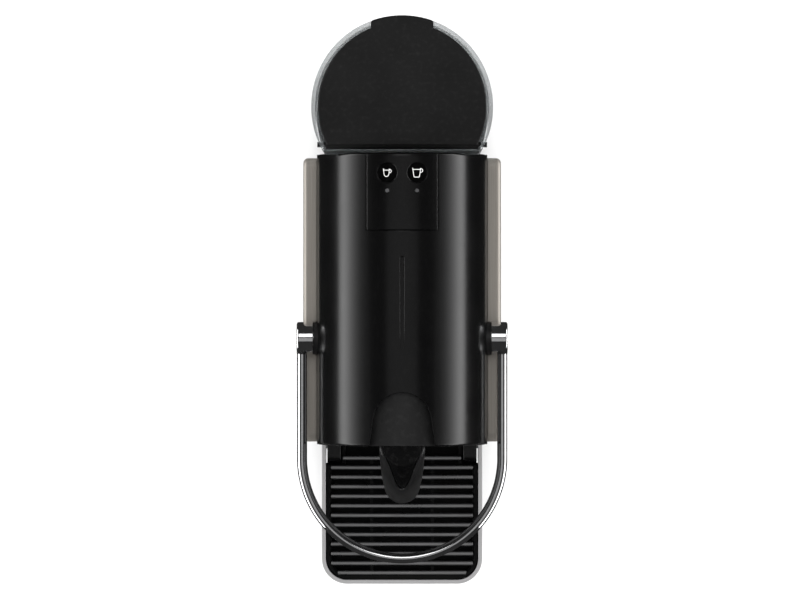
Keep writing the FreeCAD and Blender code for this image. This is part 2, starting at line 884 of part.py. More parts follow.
def capsule_cage():
    body = rod((0, cage_front, lever_z), (0, cage_back, lever_z), cage_radius)
    cone = Part.makeCone(cage_mouth - 2.0, cage_bore, cage_depth - 4.0,
                         V(0, cage_front, lever_z), V(0, 1, 0))
    rim = rod((0, cage_front - 1, lever_z), (0, cage_front + 1.2, lever_z), cage_mouth)
    spigot = rod((0, cage_back, lever_z), (0, carriage_back + 10.0, lever_z), 5.9)
    body = body.cut(cone).cut(rim).fuse(spigot)
    for k in range(8):
        a = 2 * math.pi * k / 8
        groove = rod((cage_radius * math.cos(a), cage_front + 6.0, lever_z
                      + cage_radius * math.sin(a)),
                     (cage_radius * math.cos(a), cage_back + 1, lever_z
                      + cage_radius * math.sin(a)), 1.6)
        body = body.cut(groove)
    water = rod((0, cage_back - 8, lever_z), (0, carriage_back + 12.0, lever_z), 1.5)
    return body.cut(water)


def piercing_blades():
    blades = []
    seat = cage_front + cage_depth - 4.0
    for k in range(blade_count):
        a = 2 * math.pi * k / blade_count + math.pi / 2
        x = blade_circle * math.cos(a)
        z = lever_z + blade_circle * math.sin(a)
        points = [(x - 2.4, seat, z - 0.4), (x + 2.4, seat, z - 0.4), (x, seat - 6.0, z - 0.4)]
        blades.append(outline(points).extrude(V(0, 0, 0.8)))
    return blades


def shutter():
    y = (fascia_front, carriage_back - 2.0)
    plate = vault(shutter_outer, y, vault_z)
    plate = plate.cut(vault(shutter_inner, (y[0] - 1, y[1] + 1), vault_z - 1))
    plate = plate.common(block((-shutter_half_width, shutter_half_width), y,
                               (vault_z, total_height)))
    leg_y = (cage_back + 1.0, cage_back + 4.0)
    leg = block((-8, 8), leg_y, (bridge_bottom + bridge_thickness, total_height))
    leg = leg.common(vault(shutter_inner + 0.5, leg_y, vault_z))
    return plate.fuse(leg).removeSplitter()


def brew_wall():
    x = (brew_wall_inner, brew_wall_inner + brew_wall_thickness)
    y = (fascia_rear, 16.0)
    wall = block(x, y, (brew_wall_bottom, brew_wall_top))
    sole = lever_z - cage_radius + 2.0 - fit_gap
    rail = block((brew_wall_inner - 4.0, x[0]), (cage_back - 2.0, y[1]),
                 (sole - rail_height, sole))
    arm = block((x[1], frame_inner), (2.0, 14.0), (brew_wall_bottom, brew_wall_bottom + 4.0))
    body = join([wall, rail, arm])
    body = body.cut(pivot_hole(shaft_radius + running_gap, (x[0] - 9, x[1] + 1)))
    return body


def rear_wall():
    y = (shell_rear - 2.5, shell_rear - 0.1)
    body = vault(vault_inner - fit_gap, y, base_top)
    for side in both_sides(block((frame_inner - fit_gap, vault_radius), (y[0] - 1, y[1] + 1),
                                 (base_top - 1, vault_z))):
        body = body.cut(side)
    edge = ledge_thickness + 0.4
    strip = block((-plate_half_width - ledge_width - 1, plate_half_width + ledge_width + 1),
                  (y[0] - 1, y[1] + 1), (vault_z + 20, total_height))
    body = body.cut(strip.cut(vault(vault_inner - edge, (y[0] - 2, y[1] + 2), base_top)))
    body = body.cut(rod((0, y[0] - 1, low_port_z), (0, y[1] + 1, low_port_z), low_port_radius))
    for k in range(vent_count):
        z = lever_z - vent_drop + vent_pitch * k
        body = body.cut(block((-vent_half, vent_half), (y[0] - 1, y[1] + 1), (z, z + vent_height)))
    return body


def heater():
    x = heater_x
    z = heater_z
    y = (heater_front, heater_rear)
    body = rod((x, y[0], z), (x, y[1], z), heater_radius)
    for k in range(4):
        start = y[0] + fin_start + k * fin_pitch
        body = body.cut(ring((x, start, z), (x, start + fin_groove, z),
                             heater_radius + 2, heater_radius - fin_depth))
    ports = []
    for port_z in (z - heater_port_offset, z + heater_port_offset):
        ports.append(rod((x, y[0], port_z), (x, y[0] - nozzle_length, port_z), nozzle_radius))
    middle = (y[0] + y[1]) / 2
    lug = block((-frame_inner, x - heater_radius + 6.0), (middle - 7.0, middle + 7.0),
                (z - 5, z + 5))
    return join([body] + ports + [lug])


def pump():
    x = pump_x
    z = pump_z
    rear = pump_front + pump_length
    barrel_y = (pump_front - pump_barrel_front, rear + pump_barrel_rear)
    coil = block((x - pump_half_width, x + pump_half_width), (pump_front, rear),
                 (z - pump_half_height, z + pump_half_height))
    coil = rounded(coil, 3.0, lambda e: span(e, 1))
    barrel = rod((x, barrel_y[0], z), (x, barrel_y[1], z), pump_barrel_radius)
    nose = rod((x, barrel_y[1], z), (x, barrel_y[1] + pump_nose, z), nozzle_radius)
    tail = rod((x, barrel_y[0] - pump_tail, z), (x, barrel_y[0], z), nozzle_radius)
    return join([coil, barrel, nose, tail])


def pump_mounts():
    mounts = []
    half = mount_length / 2
    x = (pump_x - mount_half, pump_x + mount_half)
    for y in (pump_front + mount_inset, pump_front + pump_length - mount_inset):
        mounts.append(block(x, (y - half, y + half), (base_top, pump_z - pump_half_height)))
    return mounts


def meter_top():
    return base_top + meter_height + meter_cap_height


def flow_meter():
    x = meter_x
    y = meter_y
    shoulder = base_top + meter_height
    body = rod((x, y, base_top), (x, y, shoulder), meter_radius)
    cap = rod((x, y, shoulder), (x, y, meter_top()), meter_cap_radius)
    port_in = rod((x, y + meter_radius - 1.0, meter_port_z), (x, meter_port_end, meter_port_z),
                  nozzle_radius)
    port_out = rod((x, y, meter_top()), (x, y, meter_top() + 4.0), nozzle_radius)
    return join([body, cap, port_in, port_out])


def main_board():
    y = (main_board_front, main_board_front + board_thickness)
    top = main_board_top
    low = main_board_bottom
    body = block((-main_board_half, main_board_half), y, (low, top))
    transformer = block(transformer_x, (y[0] - transformer_depth, y[0]),
                        (top - transformer_z[0], top - transformer_z[1]))
    relay = block(relay_x, (y[0] - relay_depth, y[0]), (top - relay_z[0], top - relay_z[1]))
    body = body.fuse(transformer).fuse(relay)
    for rise in capacitor_rise:
        body = body.fuse(rod((capacitor_x, y[0] - relay_depth, low + rise),
                             (capacitor_x, y[0], low + rise), capacitor_radius))
    reach = main_board_half - standoff_inset
    for x in (-reach, reach):
        for z in (low + standoff_inset, top - standoff_inset):
            body = body.fuse(rod((x, y[1], z), (x, shell_rear - 2.5, z), standoff_radius))
    return body.removeSplitter()


def suction_hose():
    return hose([(0, tank_y, socket_bottom), (0, tank_y, low_port_z), (0, hose_row_y, low_port_z),
                 (meter_x, hose_row_y, meter_port_z), (meter_x, meter_port_end, meter_port_z)],
                4.0)


def pump_end(rear):
    if rear:
        return pump_front + pump_length + pump_barrel_rear + pump_nose
    return pump_front - pump_barrel_front - pump_tail


def transfer_hose():
    y = hose_row_y
    over = pump_z + hose_over
    return hose([(meter_x, meter_y, meter_top() + 4.0), (meter_x, meter_y, over),
                 (pump_x, y, over), (pump_x, y, pump_z), (pump_x, pump_end(True), pump_z)], 3.6)


def pressure_hose():
    y = hose_front_y
    low = heater_z - heater_port_offset
    return hose([(pump_x, pump_end(False), pump_z), (pump_x, y, pump_z), (pump_x, y, low),
                 (heater_x, y, low), (heater_x, heater_front - nozzle_length, low)], 3.6)


def brew_hose():
    start = carriage_back + 10.0
    drop = start + 12.0
    high = heater_z + heater_port_offset
    return hose([(0, start, lever_z), (0, drop, lever_z), (0, drop, high), (heater_x, drop, high),
                 (heater_x, heater_front - nozzle_length, high)], 5.0)


def water_tank():
    z = (tank_bottom, tank_rim)
    outer = d_solid(tank_radius, tank_flat, z, tank_corner)
    outer = rounded(outer, 3.0, lambda e: e.BoundBox.ZMax < tank_bottom + 0.01)
    inner_z = (tank_bottom + tank_floor, tank_rim + 1)
    body = outer.cut(d_solid(tank_radius - tank_wall, tank_flat + tank_wall, inner_z, 0))
    hinge_bay = block((-hinge_bay_half, hinge_bay_half),
                      (tank_flat - 1, hinge_y + hinge_barrel + 1.0),
                      (hinge_axis_z - hinge_barrel - 0.6, tank_rim + 1))
    tab_bay = block((-lid_tab_half - 0.6, lid_tab_half + 0.6), (tank_y + 20, tank_back + 1),
                    (lid_top - lid_thickness - fit_gap, tank_rim + 1))
    pin_holes = rod((-60, hinge_y, hinge_axis_z), (60, hinge_y, hinge_axis_z),
                    hinge_pin + running_gap)
    valve_hole = rod((0, tank_y, tank_bottom - 1), (0, tank_y, tank_bottom + 6),
                     valve_radius + 0.05)
    for tool in (hinge_bay, tab_bay, pin_holes, valve_hole):
        body = body.cut(tool)
    shelf_z = (lid_top - lid_thickness - 5.0, lid_top - lid_thickness - 2.6)
    shelf = ring((0, tank_y, shelf_z[0]), (0, tank_y, shelf_z[1]),
                 tank_radius - tank_wall + 0.3, lid_radius - 1.6)
    shelf = shelf.common(block((-60, 60), (tank_y, tank_back), shelf_z))
    return body.fuse(shelf).removeSplitter()


def tank_valve():
    floor = tank_bottom + tank_floor
    tube = rod((0, tank_y, tank_bottom - valve_drop), (0, tank_y, floor + 6.0), valve_radius)
    collar = rod((0, tank_y, floor), (0, tank_y, floor + 2.0), valve_radius + 3.4)
    bore = rod((0, tank_y, tank_bottom - valve_drop - 1), (0, tank_y, floor + 7.0),
               valve_radius - 3.0)
    lip = ring((0, tank_y, floor), (0, tank_y, floor + 1.6), valve_radius, 3.4)
    return join([tube.fuse(collar).cut(bore), lip])


def valve_plunger():
    floor = tank_bottom + tank_floor
    head = rod((0, tank_y, floor + 1.6), (0, tank_y, floor + 4.6), 5.0)
    stem = rod((0, tank_y, tank_bottom - valve_drop + 4.6), (0, tank_y, floor + 1.6), 1.6)
    return head.fuse(stem).removeSplitter()


def tank_lid():
    z = (lid_top - lid_thickness, lid_top)
    disc = rod((0, tank_y, z[0]), (0, tank_y, z[1]), lid_radius)
    disc = rounded(disc, 0.8, lambda e: e.BoundBox.ZMin > lid_top - 0.01)
    disc = disc.common(block((-60, 60), (hinge_y, tank_back), z))
    tab = rod((0, tank_y, z[0]), (0, tank_y, z[1]), tank_radius)
    tab = tab.common(block((-lid_tab_half, lid_tab_half), (tank_y + 30, tank_back), z))
    tab = rounded(tab, 2.0, lambda e: span(e, 2) and e.BoundBox.YMin > tank_y + 40)
    skirt = ring((0, tank_y, z[0] - 2.2), (0, tank_y, z[0]), lid_radius - 2.4, lid_radius - 4.0)
    skirt = skirt.common(block((-60, 60), (tank_y, tank_back), (0, total_height)))
    axis_z = hinge_axis_z
    half = hinge_bay_half - 0.8
    barrel = rod((-half, hinge_y, axis_z), (half, hinge_y, axis_z), hinge_barrel)
    web = block((-half + 2.0, half - 2.0), (hinge_y, hinge_y + 2.6), (axis_z, z[0]))
    pins = rod((-hinge_pin_end, hinge_y, axis_z), (hinge_pin_end, hinge_y, axis_z), hinge_pin)
    return join([disc, tab, skirt, barrel, web, pins])


def drawer_bin():
    z = (drawer_bottom, drawer_top)
    y = (drawer_front + fascia_thickness, drawer_back)
    outer = block((-drawer_half_width, drawer_half_width), y, z)
    outer = rounded(outer, 4.0, lambda e: span(e, 2) and e.BoundBox.YMin > 0)
    w = drawer_wall
    inner = block((-drawer_half_width + w, drawer_half_width - w), (y[0] + w, y[1] - w),
                  (z[0] + w, z[1] + 1))
    inner = rounded(inner, 6.0, lambda e: span(e, 2))
    return outer.cut(inner)


def drawer_plate():
    y = (drawer_front, drawer_front + fascia_thickness)
    half = frame_inner - fit_gap
    body = block((-half, half), y, (drawer_bottom - 1.0, drawer_top))
    lug = block((lug_inner, lug_outer), (lug_front, y[0]), (tray_hinge_z - 6.0, tray_top - 0.4))
    lug = rounded(lug, 3.0, lambda e: span(e, 0) and e.BoundBox.YMax < lug_front + 0.01)
    bore = rod((lug_inner - 1, tray_hinge_y, tray_hinge_z),
               (lug_outer + 1, tray_hinge_y, tray_hinge_z), tray_pin + running_gap)
    for part in both_sides(lug.cut(bore)):
        body = body.fuse(part)
    return body.removeSplitter()


def tray_outline(inset, z, rear):
    half = tray_half_width - inset
    body = block((-half, half), (tray_front + inset, rear), z)
    corner = tray_corner - inset
    return rounded(body, corner, lambda e: span(e, 2) and e.BoundBox.YMax < rear - 1)


def tray_band():
    z = (tray_bottom, tray_top)
    rear = fascia_front - 0.6
    outer = tray_outline(0, z, rear)
    inner_z = (z[0] - 1, z[1] + 1)
    inner = tray_outline(tray_rim, inner_z, rear + 2)
    outer = rounded(outer, z[1] - tray_hinge_z,
                    lambda e: span(e, 0) and e.BoundBox.ZMin > z[1] - 0.01
                    and e.BoundBox.YMin > rear - 0.01)
    return outer.cut(inner)


def tray_pins():
    x = (lug_inner + 0.4, tray_half_width - tray_rim)
    pin = rod((x[0], tray_hinge_y, tray_hinge_z), (x[1], tray_hinge_y, tray_hinge_z), tray_pin)
    return both_sides(pin)


def drip_tray():
    rib_low = tray_top - rib_drop - rib_height
    z = (tray_bottom, rib_low - 2.0)
    inset = tray_rim + 0.05
    rear = fascia_front - 0.6
    outer = tray_outline(inset, z, rear)
    inner = tray_outline(inset + tray_wall, (z[0] + tray_wall, z[1] + 1), rear - tray_wall)
    body = outer.cut(inner)
    ledge = tray_outline(inset, (z[1] - 2.0, z[1]), rear)
    ledge = ledge.cut(tray_outline(inset + tray_wall + 1.6, (z[1] - 3.0, z[1] + 1),
                                   rear - tray_wall - 1.6))
    body = body.fuse(ledge)
    bay_x = lug_inner - 0.8
    bay_y = lug_front - 1.2
    bay = block((bay_x, tray_half_width - tray_rim), (bay_y, 0), (z[0] + tray_wall, tray_top + 1))
    slit = block((lug_outer + 0.4, tray_half_width - tray_rim), (bay_y, 0), (z[0] - 1, tray_top + 1))
    for side in both_sides(bay.fuse(slit)):
        body = body.cut(side)
    cheek = block((bay_x - tray_wall, bay_x), (bay_y - tray_wall, rear), z)
    back = block((bay_x - tray_wall, tray_half_width - inset), (bay_y - tray_wall, bay_y), z)
    for corner in both_sides(cheek.fuse(back)):
        body = body.fuse(corner)
    return body.removeSplitter()


def rib(y, half):
    top = tray_top - rib_drop
    bar = block((-half, half), (y - rib_width / 2, y + rib_width / 2), (top - rib_height, top))
    return rounded(bar, rib_width / 2 - 0.15,
                   lambda e: span(e, 0) and e.BoundBox.ZMin > top - 0.01)


def drip_grid():
    top = tray_top - rib_drop
    inset = tray_rim + 0.35
    z = (top - rib_height - 1.8, top - rib_height + 1.4)
    last = rib_first - rib_pitch * (rib_count - 1)
    rear = lug_front - 1.6
    frame = tray_outline(inset, z, rear)
    hole = tray_outline(inset + 2.4, (z[0] - 1, z[1] + 1), rear - 2.4)
    frame = frame.cut(hole)
    tongue_half = rib_first_half
    tab = block((-tongue_half, tongue_half), (rear - 2.4, rib_first + rib_width / 2), z)
    tab_hole = block((-tongue_half + 2.4, tongue_half - 2.4),
                     (rear - 3.4, rib_first + rib_width / 2 - 2.4), (z[0] - 1, z[1] + 1))
    body = frame.fuse(tab).cut(tab_hole)
    limit = tray_outline(inset + 1.0, (0, total_height), 0)
    for k in range(rib_count):
        half = rib_first_half if k == 0 else rib_half
        body = body.fuse(rib(rib_first - rib_pitch * k, half).common(limit))
    for x in (-18.0, 18.0):
        keel = block((x - 1, x + 1), (last, rib_first), (z[0], top - rib_height + 0.2))
        body = body.fuse(keel)
    return body.removeSplitter()


def screw(x, y, z, length):
    head = rod((x, y, z), (x, y, z + 1.8), screw_head)
    shank = rod((x, y, z - length), (x, y, z), screw_radius)
    slot = block((x - 2.2, x + 2.2), (y - 0.4, y + 0.4), (z + 1.0, z + 2.5))
    return head.fuse(shank).cut(slot)


def board_screws():
    screws = []
    for x, y in board_posts():
        low = board_top - board_thickness
        body = screw(x, y, 0, board_thickness)
        turned = body.copy()
        turned.rotate(V(x, y, 0), V(1, 0, 0), 180)
        turned.translate(V(0, 0, low))
        screws.append(turned)
    return screws


def sided(name, shape):
    return {name + "_right": shape, name + "_left": mirrored(shape)}


def all_nodes():
    nodes = {
        "rubber_feet": feet(),
        "base_plate": base_plate(),
        "tank_stand": tank_stand(),
        "tank_socket": tank_socket(),
        "socket_seal": socket_seal(),
        "cord_gland": cord_gland(),
        "outer_shell": outer_shell(),
        "control_plate": control_plate(),
        "small_cup_button": button(-button_x),
        "large_cup_button": button(button_x),
        "lamp_pipes": lamps(),
        "button_board": button_board(),
        "board_screws": board_screws(),
        "front_fascia": fascia(),
        "extraction_plate": extraction_plate(),
        "extraction_seal": extraction_seal(),
        "spout_hood": spout_hood(),
        "spout_insert": spout_insert(),
        "rear_wall": rear_wall(),
        "heater_block": heater(),
        "pump": pump(),
        "pump_mounts": pump_mounts(),
        "flow_meter": flow_meter(),
        "main_board": main_board(),
        "suction_hose": suction_hose(),
        "transfer_hose": transfer_hose(),
        "pressure_hose": pressure_hose(),
        "brew_hose": brew_hose(),
        "lever_bail": lever_bail(),
        "carriage": carriage(),
        "carriage_racks": both_sides(rack()),
        "capsule_cage": capsule_cage(),
        "piercing_blades": piercing_blades(),
        "capsule_shutter": shutter(),
        "water_tank": water_tank(),
        "tank_valve": tank_valve(),
        "valve_plunger": valve_plunger(),
        "tank_lid": tank_lid(),
        "drawer_bin": drawer_bin(),
        "drawer_front": drawer_plate(),
        "drip_tray": drip_tray(),
        "tray_band": tray_band(),
        "tray_pins": tray_pins(),
        "drip_grid": drip_grid(),
    }
    nodes.update(sided("side_frame", side_frame()))
    nodes.update(sided("side_panel", side_panel()))
    nodes.update(sided("panel_carrier", panel_carrier()))
    nodes.update(sided("pivot_bush", pivot_bush()))
    nodes.update(sided("brew_wall", brew_wall()))
    nodes.update(sided("lever_hub", lever_hub()))
    nodes.update(sided("sector_gear", sector_gear()))
    return nodes


os.makedirs("parts", exist_ok=True)
for node, made in all_nodes().items():
    shape = Part.makeCompound(made) if isinstance(made, list) else made
    shape.exportStep("parts/" + node + ".step")
    box = shape.BoundBox
    print(node, len(shape.Solids), shape.isValid(), round(shape.Volume / 1000, 2),
          [round(v, 1) for v in (box.XMin, box.XMax, box.YMin, box.YMax, box.ZMin, box.ZMax)])
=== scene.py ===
import math
import bpy
import bmesh
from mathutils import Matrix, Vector


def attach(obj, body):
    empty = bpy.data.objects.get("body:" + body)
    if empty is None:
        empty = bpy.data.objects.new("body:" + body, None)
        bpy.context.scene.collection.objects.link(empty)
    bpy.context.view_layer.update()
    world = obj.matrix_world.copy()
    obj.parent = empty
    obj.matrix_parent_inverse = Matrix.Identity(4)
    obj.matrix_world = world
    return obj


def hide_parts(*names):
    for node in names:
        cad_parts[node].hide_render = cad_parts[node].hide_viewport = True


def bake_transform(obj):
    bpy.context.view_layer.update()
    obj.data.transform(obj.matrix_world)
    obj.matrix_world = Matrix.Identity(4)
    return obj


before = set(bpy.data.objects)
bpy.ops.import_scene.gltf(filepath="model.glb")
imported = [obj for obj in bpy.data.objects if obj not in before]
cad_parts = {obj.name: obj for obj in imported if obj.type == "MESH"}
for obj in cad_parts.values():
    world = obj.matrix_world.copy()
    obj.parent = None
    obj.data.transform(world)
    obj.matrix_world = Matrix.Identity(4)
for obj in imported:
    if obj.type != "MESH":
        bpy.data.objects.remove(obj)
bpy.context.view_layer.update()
mm = 0.001
print("frame loaded:", len(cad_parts), "nodes")


# small helpers for node trees

def link(tree, start, end):
    tree.links.new(start, end)


def addNode(tree, kind, x, y, **settings):
    node = tree.nodes.new(kind)
    node.location = (x, y)
    for key, value in settings.items():
        setattr(node, key, value)
    return node


def newGroup(name, inputs, outputs):
    tree = bpy.data.node_groups.new(name, "ShaderNodeTree")
    for label, value in inputs.items():
        socket = tree.interface.new_socket(label, in_out="INPUT", socket_type="NodeSocketFloat")
        socket.default_value = value
    for label in outputs:
        kind = "NodeSocketVector" if label == "Normal" else "NodeSocketFloat"
        tree.interface.new_socket(label, in_out="OUTPUT", socket_type=kind)
    start = addNode(tree, "NodeGroupInput", -900, 0)
    end = addNode(tree, "NodeGroupOutput", 700, 0)
    coords = addNode(tree, "ShaderNodeTexCoord", -900, -260)
    return tree, start, end, coords


def mathNode(tree, action, x, y, first, second, clamp=False):
    node = addNode(tree, "ShaderNodeMath", x, y, operation=action, use_clamp=clamp)
    for socket, value in zip(node.inputs, (first, second)):
        if isinstance(value, float):
            socket.default_value = value
        else:
            link(tree, value, socket)
    return node.outputs[0]


def shareOf(tree, x, y, first, second, share):
    main = mathNode(tree, "MULTIPLY", x, y + 100, first, share)
    rest = mathNode(tree, "MULTIPLY", x, y - 100, second, 1.0 - share)
    return mathNode(tree, "ADD", x + 240, y, main, rest)


def rangeNode(tree, value, x, y, span, to=(0.0, 1.0)):
    node = addNode(tree, "ShaderNodeMapRange", x, y)
    for label, number in zip(("From Min", "From Max", "To Min", "To Max"), span + to):
        node.inputs[label].default_value = number
    link(tree, value, node.inputs["Value"])
    return node.outputs["Result"]


def noiseNode(tree, place, x, y, **settings):
    node = addNode(tree, "ShaderNodeTexNoise", x, y)
    for label, value in settings.items():
        node.inputs[label.capitalize()].default_value = value
    link(tree, place, node.inputs["Vector"])
    return node


# shared effects: one group for each, with its own values above it

grainFeel = {"detail": 3.0, "roughness": 0.6, "patchDetail": 2.0, "patchShare": 0.75}


def makeMouldGrain(feel):
    tree, start, end, coords = newGroup("mouldGrain", {"Grain scale": 900.0, "Patch scale": 30.0},
                                        ("Height", "Tone"))
    place = coords.outputs["Object"]
    fine = noiseNode(tree, place, -500, 120, detail=feel["detail"], roughness=feel["roughness"])
    patch = noiseNode(tree, place, -500, -180, detail=feel["patchDetail"])
    link(tree, start.outputs["Grain scale"], fine.inputs["Scale"])
    link(tree, start.outputs["Patch scale"], patch.inputs["Scale"])
    link(tree, fine.outputs[0], end.inputs["Height"])
    tone = shareOf(tree, -100, -80, patch.outputs[0], fine.outputs[0], feel["patchShare"])
    link(tree, tone, end.inputs["Tone"])
    return tree


brushFeel = {"detail": 4.0, "roughness": 0.7, "driftScale": 14.0, "lineShare": 0.9}


def makeBrushLines(feel):
    tree, start, end, coords = newGroup("brushLines", {"Across": 2600.0, "Along": 28.0},
                                        ("Height", "Tone"))
    place = coords.outputs["Object"]
    stretch = addNode(tree, "ShaderNodeCombineXYZ", -700, 60)
    for axis, label in (("X", "Across"), ("Y", "Along"), ("Z", "Across")):
        link(tree, start.outputs[label], stretch.inputs[axis])
    scaled = addNode(tree, "ShaderNodeVectorMath", -500, 0, operation="MULTIPLY")
    link(tree, place, scaled.inputs[0])
    link(tree, stretch.outputs[0], scaled.inputs[1])
    lines = noiseNode(tree, scaled.outputs[0], -260, 80, scale=1.0, detail=feel["detail"],
                      roughness=feel["roughness"])
    drift = noiseNode(tree, place, -260, -200, scale=feel["driftScale"])
    link(tree, lines.outputs[0], end.inputs["Height"])
    tone = shareOf(tree, 60, 0, lines.outputs[0], drift.outputs[0], feel["lineShare"])
    link(tree, tone, end.inputs["Tone"])
    return tree


edgeFeel = {"samples": 6, "rim": (0.99, 0.75), "brokenScale": 160.0, "brokenDetail": 4.0,
            "broken": (0.35, 0.7), "chance": (0.2, 1.0)}


def makeSoftEdge(feel):
    tree, start, end, coords = newGroup("softEdge", {"Edge radius": 0.0004, "Wear": 0.5},
                                        ("Normal", "Mask"))
    bevel = addNode(tree, "ShaderNodeBevel", -600, 120, samples=feel["samples"])
    link(tree, start.outputs["Edge radius"], bevel.inputs["Radius"])
    geometry = addNode(tree, "ShaderNodeNewGeometry", -600, -80)
    facing = addNode(tree, "ShaderNodeVectorMath", -360, 40, operation="DOT_PRODUCT")
    link(tree, bevel.outputs[0], facing.inputs[0])
    link(tree, geometry.outputs["Normal"], facing.inputs[1])
    rim = rangeNode(tree, facing.outputs["Value"], -140, 40, feel["rim"])
    broken = noiseNode(tree, coords.outputs["Object"], -360, -240, scale=feel["brokenScale"],
                       detail=feel["brokenDetail"])
    chance = rangeNode(tree, broken.outputs[0], -140, -240, feel["broken"], feel["chance"])
    worn = mathNode(tree, "MULTIPLY", 120, -60, rim, chance)
    worn = mathNode(tree, "MULTIPLY", 320, -60, worn, start.outputs["Wear"], True)
    link(tree, bevel.outputs[0], end.inputs["Normal"])
    link(tree, worn, end.inputs["Mask"])
    return tree


dustFeel = {"facingUp": (0.45, 1.0), "fleckScale": 420.0, "fleckDetail": 5.0,
            "flecks": (0.52, 0.75)}


def makeSettledDust(feel):
    tree, start, end, coords = newGroup("settledDust", {"Amount": 0.1}, ("Mask",))
    geometry = addNode(tree, "ShaderNodeNewGeometry", -700, 160)
    split = addNode(tree, "ShaderNodeSeparateXYZ", -500, 160)
    link(tree, geometry.outputs["Normal"], split.inputs[0])
    up = rangeNode(tree, split.outputs["Z"], -300, 160, feel["facingUp"])
    flecks = noiseNode(tree, coords.outputs["Object"], -500, -160, scale=feel["fleckScale"],
                       detail=feel["fleckDetail"])
    spots = rangeNode(tree, flecks.outputs[0], -300, -160, feel["flecks"])
    lying = mathNode(tree, "MULTIPLY", -40, 0, up, spots)
    lying = mathNode(tree, "MULTIPLY", 200, 0, lying, start.outputs["Amount"], True)
    link(tree, lying, end.inputs["Mask"])
    return tree


smudgeFeel = {"detail": 4.0, "distortion": 0.8, "span": (0.35, 0.68)}


def makeHandSmudge(feel):
    tree, start, end, coords = newGroup("handSmudge", {"Scale": 45.0, "Low": 0.15, "High": 0.25},
                                        ("Roughness",))
    wave = noiseNode(tree, coords.outputs["Object"], -500, 0, detail=feel["detail"],
                     distortion=feel["distortion"])
    link(tree, start.outputs["Scale"], wave.inputs["Scale"])
    spread = rangeNode(tree, wave.outputs[0], -200, 0, feel["span"])
    link(tree, start.outputs["Low"], spread.node.inputs["To Min"])
    link(tree, start.outputs["High"], spread.node.inputs["To Max"])
    link(tree, spread, end.inputs["Roughness"])
    return tree


# painted highlight: a mask of up-facing faces, made uneven by noise, that pales the grid bars'
# crowns as if lit from above
paintedSheenFeel = {"unevenScale": 70.0, "uneven": (0.3, 0.7), "share": (0.8, 1.0)}


def makePaintedSheen(feel):
    tree, start, end, coords = newGroup("paintedCrownSheen", {"Low": 0.7, "High": 0.98}, ("Mask",))
    split = addNode(tree, "ShaderNodeSeparateXYZ", -600, 160)
    link(tree, coords.outputs["Normal"], split.inputs[0])
    crown = addNode(tree, "ShaderNodeMapRange", -380, 160, interpolation_type="SMOOTHSTEP")
    link(tree, split.outputs["Z"], crown.inputs["Value"])
    link(tree, start.outputs["Low"], crown.inputs["From Min"])
    link(tree, start.outputs["High"], crown.inputs["From Max"])
    uneven = noiseNode(tree, coords.outputs["Object"], -600, -120, scale=feel["unevenScale"])
    share = rangeNode(tree, uneven.outputs[0], -380, -120, feel["uneven"], feel["share"])
    mask = mathNode(tree, "MULTIPLY", -100, 0, crown.outputs[0], share, True)
    link(tree, mask, end.inputs["Mask"])
    return tree


finishGroups = {"grain": makeMouldGrain(grainFeel), "brush": makeBrushLines(brushFeel),
                "edge": makeSoftEdge(edgeFeel), "dust": makeSettledDust(dustFeel),
                "smudge": makeHandSmudge(smudgeFeel), "rub": makePaintedSheen(paintedSheenFeel)}
print("finish groups ready:", len(finishGroups))


# one dictionary for each finish; colours are linear
finishes = {
    "shell_gloss": {"dark": (0.0011, 0.0011, 0.0012), "light": (0.0019, 0.0019, 0.0020),
                    "rough": (0.19, 0.23), "edge": 0.0009, "wear": 0.25, "dust": 0.006,
                    "grain": 1400.0, "bump": 0.010, "shiny": 0.42},
    "black_plastic": {"dark": (0.0042, 0.0042, 0.0044), "light": (0.0085, 0.0085, 0.0088),
                      "rough": (0.42, 0.56), "edge": 0.0004, "wear": 0.4, "dust": 0.10,
                      "grain": 1100.0, "bump": 0.10, "shiny": 0.45},
    "button_satin": {"dark": (0.0004, 0.0004, 0.0004), "light": (0.0008, 0.0008, 0.0008),
                     "rough": (0.42, 0.52), "edge": 0.0003, "wear": 0.1, "dust": 0.01,
                     "grain": 1500.0, "bump": 0.05, "shiny": 0.04},
    "spout_satin": {"dark": (0.0058, 0.0058, 0.0060), "light": (0.0094, 0.0094, 0.0097),
                    "rough": (0.30, 0.37), "edge": 0.0022, "wear": 0.3, "dust": 0.01,
                    "grain": 1200.0, "bump": 0.06, "shiny": 0.5},
    # the grid's extra pale colour is a painted highlight for the bars' crowns, not a colour of the
    # plastic
    "grid_satin": {"dark": (0.0045, 0.0045, 0.0047), "light": (0.0085, 0.0085, 0.0088),
                   "rough": (0.26, 0.34), "edge": 0.0003, "wear": 0.4, "dust": 0.02,
                   "grain": 1100.0, "bump": 0.03, "shiny": 0.8, "rub": (0.085, 0.085, 0.086)},
    "rubber": {"dark": (0.010, 0.010, 0.010), "light": (0.020, 0.020, 0.020),
               "rough": (0.68, 0.82), "edge": 0.0003, "wear": 0.3, "dust": 0.20,
               "grain": 900.0, "bump": 0.20, "shiny": 0.35},
    "gear_resin": {"dark": (0.55, 0.52, 0.44), "light": (0.68, 0.65, 0.56),
                   "rough": (0.38, 0.48), "edge": 0.0003, "wear": 0.3, "dust": 0.05,
                   "grain": 800.0, "bump": 0.05, "shiny": 0.5},
    "board_green": {"dark": (0.010, 0.060, 0.024), "light": (0.018, 0.095, 0.040),
                    "rough": (0.30, 0.45), "edge": 0.0002, "wear": 0.2, "dust": 0.05,
                    "grain": 600.0, "bump": 0.05, "shiny": 0.5},
}

